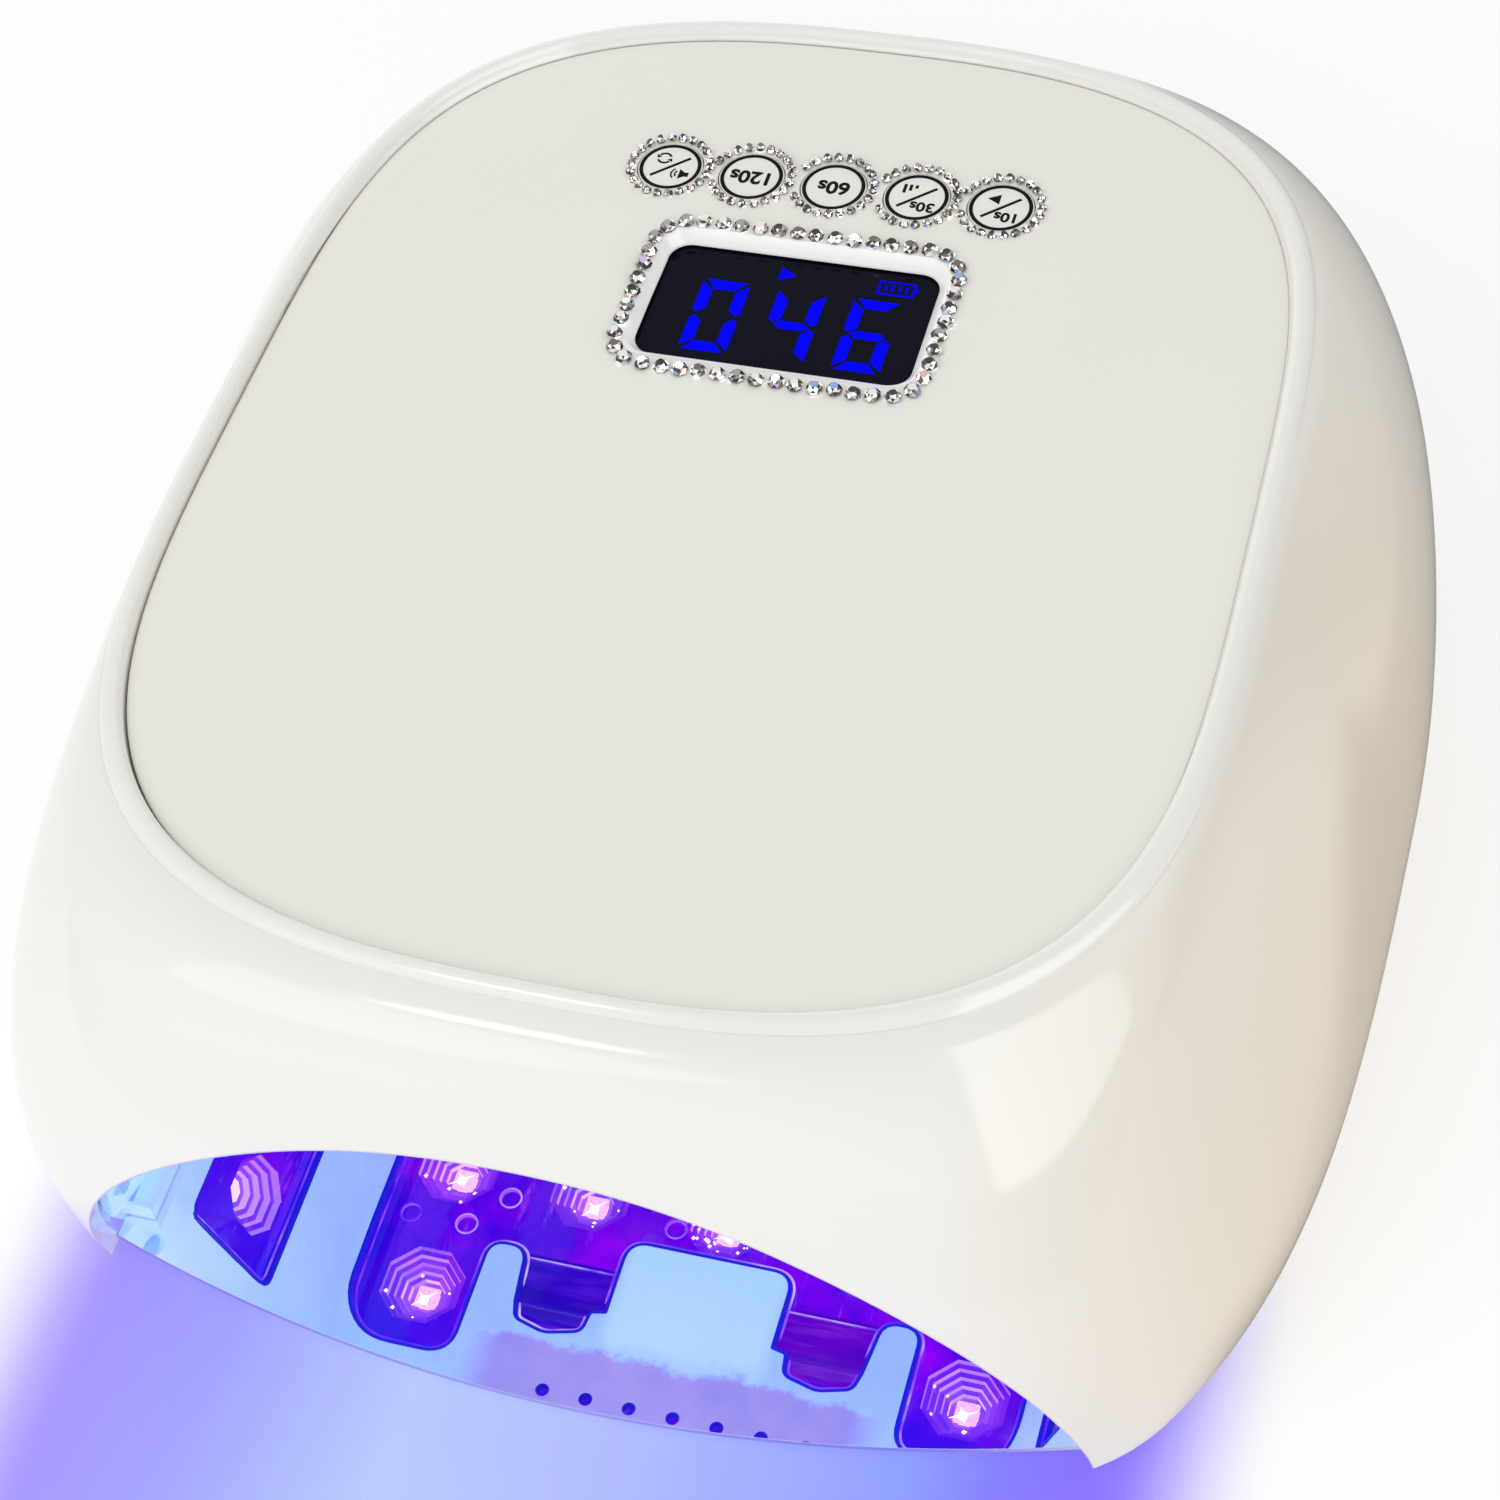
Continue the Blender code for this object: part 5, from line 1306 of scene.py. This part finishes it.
for label, side in SIDES:
    bm = bmesh.new()
    for section, stations in ((FLANGE, FLANGE_Y), (FLANGE_END, FLANGE_END_Y)):
        loft(bm, [[(side * x, y, z) for x, z in section] for y in stations])
    make("liner_foot_" + label, bm, "liner_lit_blue")

# ------------------------------------------------------------------ lens with stepped cups
LENS_HALF = [(60.0, 17.0), (61.0, 60.0), (61.0, 152.0), (50.0, 172.0), (38.0, 179.0)]
POCKET_X = (13.4, 14.6, 30.8, 31.9)
POCKET_PROFILE = (          # y, height against the lens sheet
    (42.7, -0.05), (42.2, -0.05), (41.4, -0.9), (41.0, -1.4), (33.2, -1.9), (32.2, -1.5),
    (31.2, -0.5), (30.6, -0.05), (30.6, 0.4), (42.7, 0.4),
)


def stepped(r_out, r_in, depth, steps):
    """(radius, height) profile of the terraces, mouth first."""
    profile = []
    for k in range(steps):
        r = r_out + (r_in - r_out) * k / steps
        z = depth * k / steps
        profile += [(r, z), (r - 0.12, z + depth / steps)]
    return profile + [(r_in, depth)]


def cup_glow(distance, riser):
    """Painted light on a face at this distance from its emitter; risers get more."""
    if distance < 2.3:
        return 1.6, 1.0, 1.6
    k = max(0.0, 1.0 - distance / 9.0)
    r, g, b = 0.50 * k * k + 0.05, 0.20 * k * k, 0.45 * k * k
    if riser:
        return r + 0.60 * k + 0.16, g + 0.46 * k + 0.10, b + 0.5 * k + 0.2
    return r, g, b


def lens_glow(face):
    x, y, z = in_mm(face.center)
    d, k = min(((x - a) ** 2 + (y - b) ** 2, i) for i, (a, b) in enumerate(CUPS))
    d = math.sqrt(d)
    riser = abs(face.normal.z) < 0.5
    if d < 7.6 and z > LENS_Z + 0.05:
        glow = cup_glow(d, riser)
        turn = math.atan2(y - CUPS[k][1], x - CUPS[k][0])
        uneven = 0.55 + 0.9 * hash01(k, int(z * 7), int(turn * 3))
        return tuple(v * uneven for v in glow) if d > 2.3 else glow
    # painted highlight on the risers round the bosses
    if riser and any((x - a) ** 2 + (y - b) ** 2 < 2.0 ** 2 for a, b in BOSSES):
        return 0.35, 0.12, 0.30
    return BLACK


def build_lens():
    outline = fillet(with_mirror(LENS_HALF), [3.0] * 10, 5)
    lens = make("lens_sheet", prism(bmesh.new(), outline, LENS_Z, LENS_Z + LENS_T),
                "violet_lens", replaces="lens_plate", sharp=None)
    outside = [(CUP_R, LENS_Z + 1.0), (CUP_R - 0.6, LENS_Z + 3.2), (4.6, CUP_TOP)]
    inside = [(7.6, LENS_Z - 1.0)]
    inside += [(r, LENS_Z + z) for r, z in stepped(CUP_MOUTH, CUP_FLOOR, CUP_DEPTH, 5)]
    cups, hollows, recesses = bmesh.new(), bmesh.new(), bmesh.new()
    for x, y in CUPS:
        turned(cups, x, y, outside, 8, OCTAGON_TURN)
        turned(hollows, x, y, inside, 8, OCTAGON_TURN)
    for x, y in BOSSES:
        turned(recesses, x, y, [(1.7, LENS_Z - 0.5), (1.7, LENS_Z + 0.8)], 20)
    carve(lens, [("UNION", cups), ("DIFFERENCE", hollows), ("DIFFERENCE", recesses)], sharp=None)
    paint(lens, "glow", [lens_glow(face) for face in lens.data.polygons])


def build_lens_steps():
    """Steps of the sheet inside the two pockets."""
    bm = bmesh.new()
    for _, side in SIDES:
        loft(bm, [[(side * x, y, LENS_Z + h) for y, h in POCKET_PROFILE] for x in POCKET_X])
    steps = make("lens_steps", bm, "violet_lens_deep", sharp=30.0)
    # painted highlight on the step faces turned to the front or back
    paint(steps, "glow", [(0.10, 0.03, 0.12) if abs(face.normal.y) > 0.55 else BLACK
                          for face in steps.data.polygons])


def build_opening_beads():
    """Dark edge of painted shade and a bright bead of painted highlight round the ceiling opening,
    and rims of painted highlight round the bosses.
    """
    around = dense(OPENING)

    def ceiling_bead(inward, drop, r):
        points = [(x, y, ceiling_height(x) + drop) for x, y in inset(around, inward)]
        return bead_loop(bmesh.new(), points, r)

    make("opening_edge", ceiling_bead(0.25, 0.45, 0.5), "opening_rim_blue")
    bm = ceiling_bead(1.0, 0.75, 0.2)
    # raised lines of the two pockets, carrying the same painted highlight
    for _, side in SIDES:
        rod(bm, *[(side * x, 41.6, LENS_Z - 0.7) for x in (14.9, 31.2)], 0.17, 8)
    make("lens_bead_ceiling", bm, "lens_bead")
    bm = bmesh.new()
    for x, y in BOSSES:
        bead_loop(bm, at_z(circle(x, y, 1.85, 28), LENS_Z - 0.05), 0.16, 6)
    make("boss_rims", bm, "lens_bead")


build_lens()
build_lens_steps()
build_opening_beads()

# ------------------------------------------------------------------ emitters
DIE_GLOW, CORE_GLOW, STAR_GLARE_PAINTED = (0.95, 0.55, 1.25), (4.0, 3.6, 4.2), (2.6, 2.1, 3.0)
CUP_GLINT_PAINTED, SHEET_GLINT_PAINTED = (2.2, 1.7, 2.6), (1.9, 1.2, 2.0)


def star_outline(cx, cy, r, turn):
    """Four-pointed star, two of its opposite points shorter."""
    points = []
    for k in range(8):
        a = turn + k * math.pi / 4
        q = r * (0.62 if k % 4 == 2 else 1.0 if k % 2 == 0 else 0.13)
        points.append((cx + q * math.cos(a), cy + q * math.sin(a)))
    return points


def glint(bm, x, y, z, r):
    """Small four-sided double point."""
    angles = (0.3, 1.87, 3.44, 5.01)
    loft(bm, [[(x + r * f * math.cos(a), y + r * f * math.sin(a), z + h) for a in angles]
              for f, h in ((0.15, -r), (1.0, 0.0), (0.15, r))])


def build_emitters():
    """A bright die in each cup; its glare is painted on as a flat star, and painted glints on the
    facets break it up.
    """
    bm = bmesh.new()
    glow = []

    def tag(colour):
        """Give the faces made since the last call this light."""
        glow.extend([colour] * (len(bm.faces) - len(glow)))

    for k, (x, y) in enumerate(CUPS):
        prism(bm, round_rect(x, y, 1.95, 1.95, 0.3, 3), LENS_Z + 4.55, LENS_Z + 4.95, 0.1)
        tag(DIE_GLOW)
        cx, cy = x - 0.5 + 0.5 * hash01(k, 31), y - 0.7 + 0.5 * hash01(k, 32)
        core = [(0.2, LENS_Z + 4.2), (0.75, LENS_Z + 4.35), (0.8, LENS_Z + 4.6)]
        turned(bm, cx, cy, core, 12)
        tag(CORE_GLOW)
        # painted glare: a flat emissive star under the die
        turn = math.radians(20 + 30 * hash01(k, 33))
        prism(bm, star_outline(cx, cy, 2.5, turn), LENS_Z + 4.1, LENS_Z + 4.18)
        tag(STAR_GLARE_PAINTED)
        # painted glints on the terraces of the cup
        for q in range(5):
            a = 2 * math.pi * hash01(k, 40 + q)
            r = 3.0 + 3.6 * hash01(k, 50 + q)
            climb = CUP_DEPTH * (CUP_MOUTH - r) / (CUP_MOUTH - CUP_FLOOR)
            glint(bm, x + r * math.cos(a), y + r * math.sin(a), LENS_Z + climb - 0.25,
                  0.22 + 0.22 * hash01(k, 60 + q))
            tag(CUP_GLINT_PAINTED)
    # a scatter of painted glints on the sheet near the middle
    for q in range(16):
        glint(bm, 2.0 + (hash01(q, 71) - 0.5) * 15.0, 52.6 + (hash01(q, 72) - 0.5) * 5.0,
              LENS_Z - 0.1, 0.18 + 0.28 * hash01(q, 73))
        tag(SHEET_GLINT_PAINTED)
    emitters = make("emitter_lights", bm, "emitter_lit", sharp=None)
    paint(emitters, "glow", glow)


build_emitters()


# ------------------------------------------------------------------ side lenses
def side_glow(face):
    x, y, z = in_mm(face.center)
    d = min(math.hypot(y - cup_y, z - SIDE_CUP_Z) for cup_y in SIDE_CUPS)
    if d < 6.6 and abs(x) - wall_x(z, LINER_T + GAP + 0.6) > 0.0:
        return cup_glow(d * 1.1, abs(face.normal.x) < 0.6)
    return BLACK


def build_side_lens(label, side):
    margin = 2.2
    outline = rectangle(SIDE_Y[0] - margin, SIDE_Z[0] - margin,
                        SIDE_Y[1] + margin, SIDE_Z[1] + margin)
    faces = [on_wall(outline, side, LINER_T + GAP + d) for d in (0.5, 2.0)]
    sheet = make("side_lens_sheet_" + label, loft(bmesh.new(), faces), "violet_lens",
                 replaces="side_lens_" + label, sharp=None)
    # cup profiles as (radius, distance out from the cavity wall)
    outside = [(7.0, LINER_T + 1.6), (4.2, LINER_T + 6.0)]
    inside = [(6.7, LINER_T - 0.8)]
    inside += [(r, LINER_T + 1.0 + z * 0.84) for r, z in stepped(6.5, 2.2, 5.0, 4)]
    cups, hollows = bmesh.new(), bmesh.new()
    for y in SIDE_CUPS:
        for bm, profile in ((cups, outside), (hollows, inside)):
            loft(bm, [on_wall(circle(y, SIDE_CUP_Z, r, 8, OCTAGON_TURN), side, off)
                      for r, off in profile])
    carve(sheet, [("UNION", cups), ("DIFFERENCE", hollows)], sharp=None)
    paint(sheet, "glow", [side_glow(face) for face in sheet.data.polygons])

    # dark edge of painted shade, then a bead of painted highlight, round the side opening
    around = dense(SIDE_OPENING)
    for name, inward, off, r, finish, slot in (
        ("opening_edge_", 0.2, 0.4, 0.45, "opening_rim_blue", "liner_blue"),
        ("lens_bead_", 0.9, 0.7, 0.2, "lens_bead", "violet_lens"),
    ):
        bm = bead_loop(bmesh.new(), on_wall(inset(around, inward), side, off), r)
        make(name + label, bm, finish)


for label, side in SIDES:
    build_side_lens(label, side)

# ------------------------------------------------------------------ mirror base plate
FRONT_HALF_W, SLOT_HALF_W = ARCH_HALF_W - 0.2, PLATE_HALF_W + 0.85


def plate_outline():
    """Bowed front edge, then the straight sides and the chamfered back corners."""
    points = []
    for k in range(65):
        x = FRONT_HALF_W * (k / 32 - 1)
        points.append((x, 3.5 - 11.0 * (1 - (x / PLATE_HALF_W) ** 2)))
    return points + with_mirror([(FRONT_HALF_W, 7.2), (SLOT_HALF_W, 7.9), (SLOT_HALF_W, 171.5),
                                 (SLOT_HALF_W - 14.0, 196.0)])


plate = make("mirror_plate", prism(bmesh.new(), plate_outline(), PLATE_Z, PLATE_Z + PLATE_T, 0.06),
             ("mirror_steel", "steel_cut_edge"), replaces="base_plate",
             body="plate", sharp=None)
for face in plate.data.polygons:
    if abs(face.normal.z) < 0.98:
        face.material_index = 1

# ------------------------------------------------------------------ CAD nodes that stay
CORNERS = (1, 2, 3, 4)
CAD_FINISHES = {
    "black_plastic": [
        "digit_display", "buzzer", "hand_sensor_right", "battery_cradle_left",
        "battery_cradle_right", "charging_socket", "switch_bezel", "power_rocker",
        *["plunger_" + key for key in KEYS]],
    "circuit_board": ["control_board"],
    "led_board_white": ["led_board", "side_led_board_left", "side_led_board_right"],
    "sensor_window_painted_glow": ["hand_sensor_left"],
    "cell_wrap": ["battery_cell_left", "battery_cell_right"],
    "lead_black": ["battery_lead_left", "battery_lead_right", "charge_lead", "switch_lead"],
    "frame_white": ["bottom_frame"],
    "switch_metal": [
        "socket_pin", "plate_magnet_left", "plate_magnet_right",
        *["tact_switch_" + key for key in KEYS],
        *["board_screw_%d" % k for k in CORNERS], *["frame_screw_%d" % k for k in CORNERS]],
    "foot_rubber": ["rubber_foot_%d" % k for k in CORNERS],
}
for finish, names in CAD_FINISHES.items():
    for name in names:
        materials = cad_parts[name].data.materials
        materials.clear()
        materials.append(MAT[finish])


# ------------------------------------------------------------------ floor
def floor_material():
    """Pale table with the lamp's blue and violet light painted on before the hand opening, and a
    painted shadow in its reflections.
    """
    g = material("floor_white")
    x, y, _ = g.axes()
    white = g.ramp(g.noise(scale=3.0), ((0.3, (0.56, 0.56, 0.56)), (0.7, (0.58, 0.58, 0.58))))
    hue = g.ramp(g.remap(x, over=(-0.1, 0.1)), (
        (0.08, (0.36, 0.27, 1.0)), (0.23, (0.36, 0.355, 1.0)), (0.38, (0.474, 0.578, 1.0)),
        (0.52, (0.451, 0.515, 1.0)), (0.75, (0.287, 0.352, 1.0)), (0.82, (0.246, 0.209, 1.0)),
        (0.87, (0.25, 0.175, 1.0))))
    # the painted pool of light, fading at its left, right, front and back edges
    across = g.times(g.ease(x, -0.099, -0.072), g.ease(x, 0.104, 0.075))
    along = g.times(g.ease(y, lamp_y(-92.0), lamp_y(-34.0)), g.ease(y, lamp_y(60.0), lamp_y(18.0)))
    rays = g.add("ShaderNodeLightPath").outputs
    glossy = rays["Is Glossy Ray"]
    # on its right side reflections do not show it
    plain = g.times(glossy, g.ease(x, 0.050, 0.080))
    light_pool = g.times(g.times(across, along), g.math("SUBTRACT", 1.0, plain))
    base = g.mix(light_pool, white, g.mix(0.5, BLACK, hue))
    glow = g.mix(light_pool, (0.48, 0.48, 0.48), g.mix(0.66, BLACK, hue))
    # painted shadow: in reflections the table is dimmer close in on the right, past the front and
    # right rear
    slanted = g.math("SUBTRACT", x, g.times(y, 0.30))
    near = g.times(g.ease(slanted, 0.147, 0.127), g.ease(y, -0.110, -0.080), g.ease(x, 0.0, 0.05))
    beyond = g.ease(y, -0.17, -0.20)
    rear = g.times(g.ease(y, 0.015, 0.12), g.ease(x, 0.02, 0.10))
    reflected_shadow = g.math("MAXIMUM", g.times(near, 0.75), g.times(beyond, 0.45))
    reflected_shadow = g.math("MAXIMUM", reflected_shadow, g.times(rear, 0.62))
    kept = g.math("SUBTRACT", 1.0, g.times(reflected_shadow, glossy))
    # bounced light is whiter than what is seen on the table
    wash = g.times(rays["Is Diffuse Ray"], 0.7)
    base = g.mix(wash, base, white)
    glow = g.mix(wash, glow, (0.40, 0.40, 0.44))
    g.set({"Base Color": g.mix(kept, BLACK, base),
           "Emission Color": g.mix(kept, BLACK, glow),
           "Emission Strength": 1.0,
           "Roughness": 0.9,
           "Specular IOR Level": 0.0})


def build_floor(half=6.0, drop=0.0002):
    """Square grid in metres, just under the lamp."""
    bm = bmesh.new()
    grid = [[bm.verts.new(((i - 4) * half / 4, (j - 4) * half / 4, -drop)) for j in range(9)]
            for i in range(9)]
    for i in range(8):
        for j in range(8):
            bm.faces.new((grid[i][j], grid[i + 1][j], grid[i + 1][j + 1], grid[i][j + 1]))
    mesh = bpy.data.meshes.new("floor")
    bm.to_mesh(mesh)
    bm.free()
    floor_material()
    mesh.materials.append(MAT["floor_white"])
    floor = bpy.data.objects.new("floor", mesh)
    bpy.context.scene.collection.objects.link(floor)


build_floor()


# ------------------------------------------------------------------ world
def build_world():
    """Even white studio; reflections also show a large soft box, a spot and a card."""
    world = bpy.data.worlds.new("studio")
    bpy.context.scene.world = world
    world.use_nodes = True
    g = Graph(world.node_tree, "Background", "Generated")
    glossy = g.add("ShaderNodeLightPath").outputs["Is Glossy Ray"]

    def towards(direction, start, end):
        """Rises as the dot product with this direction goes from start to end."""
        dot = g.add("ShaderNodeVectorMath", {0: g.vec, 1: direction}, operation="DOT_PRODUCT")
        return g.ease(dot.outputs["Value"], start, end)

    # soft box bounded by three planes
    box = g.times(towards((0.823, 0.560, -0.0916), -0.01, 0.02),
                  towards((-0.186, -0.096, 0.978), -0.01, 0.02),
                  towards((0.05, -0.99, 0.10), -0.01, 0.03))
    # small spot overhead
    spot = towards((-0.300, -0.207, 0.931), 0.9965, 0.9985)
    # bright card at the rear left, above the horizon
    card = g.times(towards((-0.62, 0.76, 0.19), 0.86, 0.97), towards((0.0, 0.0, 1.0), 0.0, 0.03))
    extra = g.math("ADD", g.times(box, 2.6), g.math("ADD", g.times(spot, 7.0), g.times(card, 1.0)))
    # darker patch at the rear right
    dark = g.times(towards((0.64, 0.76, 0.08), 0.72, 0.90), 0.42)
    extra = g.times(g.math("SUBTRACT", extra, dark), glossy)
    g.set({"Strength": g.math("ADD", extra, 0.80), "Color": (1.0, 1.0, 1.0)})


build_world()

# ------------------------------------------------------------------ lights and camera, in metres
LIGHT_TARGET = (0.0, 0.0, 0.04)


def area_light(name, location, size, power, colour, glossy=True):
    """Square light turned to the lamp and hidden from the camera."""
    light = bpy.data.lights.new(name, "AREA")
    light.shape = "RECTANGLE"
    light.size = size
    light.size_y = size
    light.energy = power
    light.color = colour
    ob = bpy.data.objects.new(name, light)
    bpy.context.scene.collection.objects.link(ob)
    ob.location = Vector(location)
    ob.rotation_mode = "QUATERNION"
    aim = Vector(LIGHT_TARGET) - Vector(location)
    ob.rotation_quaternion = aim.to_track_quat("-Z", "Y")
    ob.visible_camera = False
    ob.visible_glossy = glossy


area_light("key_soft", (-0.55, -0.75, 0.95), size=0.7, power=1.9, colour=(1.0, 0.995, 0.98))
area_light("front_fill", (0.15, -1.1, 0.35), size=0.8, power=1.5, colour=(1.0, 1.0, 1.0),
           glossy=False)

CAMERA_PLACE = (127.367, -196.969, 440.291)          # mm, y from the feet line
# directions of the picture's axes
CAMERA_RIGHT = Vector((0.9568860, 0.2731282, -0.0988442))
CAMERA_DOWN = Vector((0.1609565, -0.7818717, -0.6023036))
CAMERA_FORWARD = Vector((-0.2417896, 0.5604263, -0.7921238))


def build_camera():
    data = bpy.data.cameras.new("camera")
    data.lens = 80.20488
    data.sensor_width = 36.0
    data.clip_start = 0.02
    data.clip_end = 30.0
    camera = bpy.data.objects.new("camera", data)
    bpy.context.scene.collection.objects.link(camera)
    axes = Matrix((CAMERA_RIGHT, -CAMERA_DOWN, -CAMERA_FORWARD)).transposed()
    camera.rotation_mode = "QUATERNION"
    camera.rotation_quaternion = axes.to_quaternion()
    x, y, z = CAMERA_PLACE
    camera.location = Vector((x, y - SHIFT_Y, z)) * MM
    bpy.context.scene.camera = camera


build_camera()
bpy.context.scene.view_settings.view_transform = "Standard"
bpy.context.scene.view_settings.look = "None"
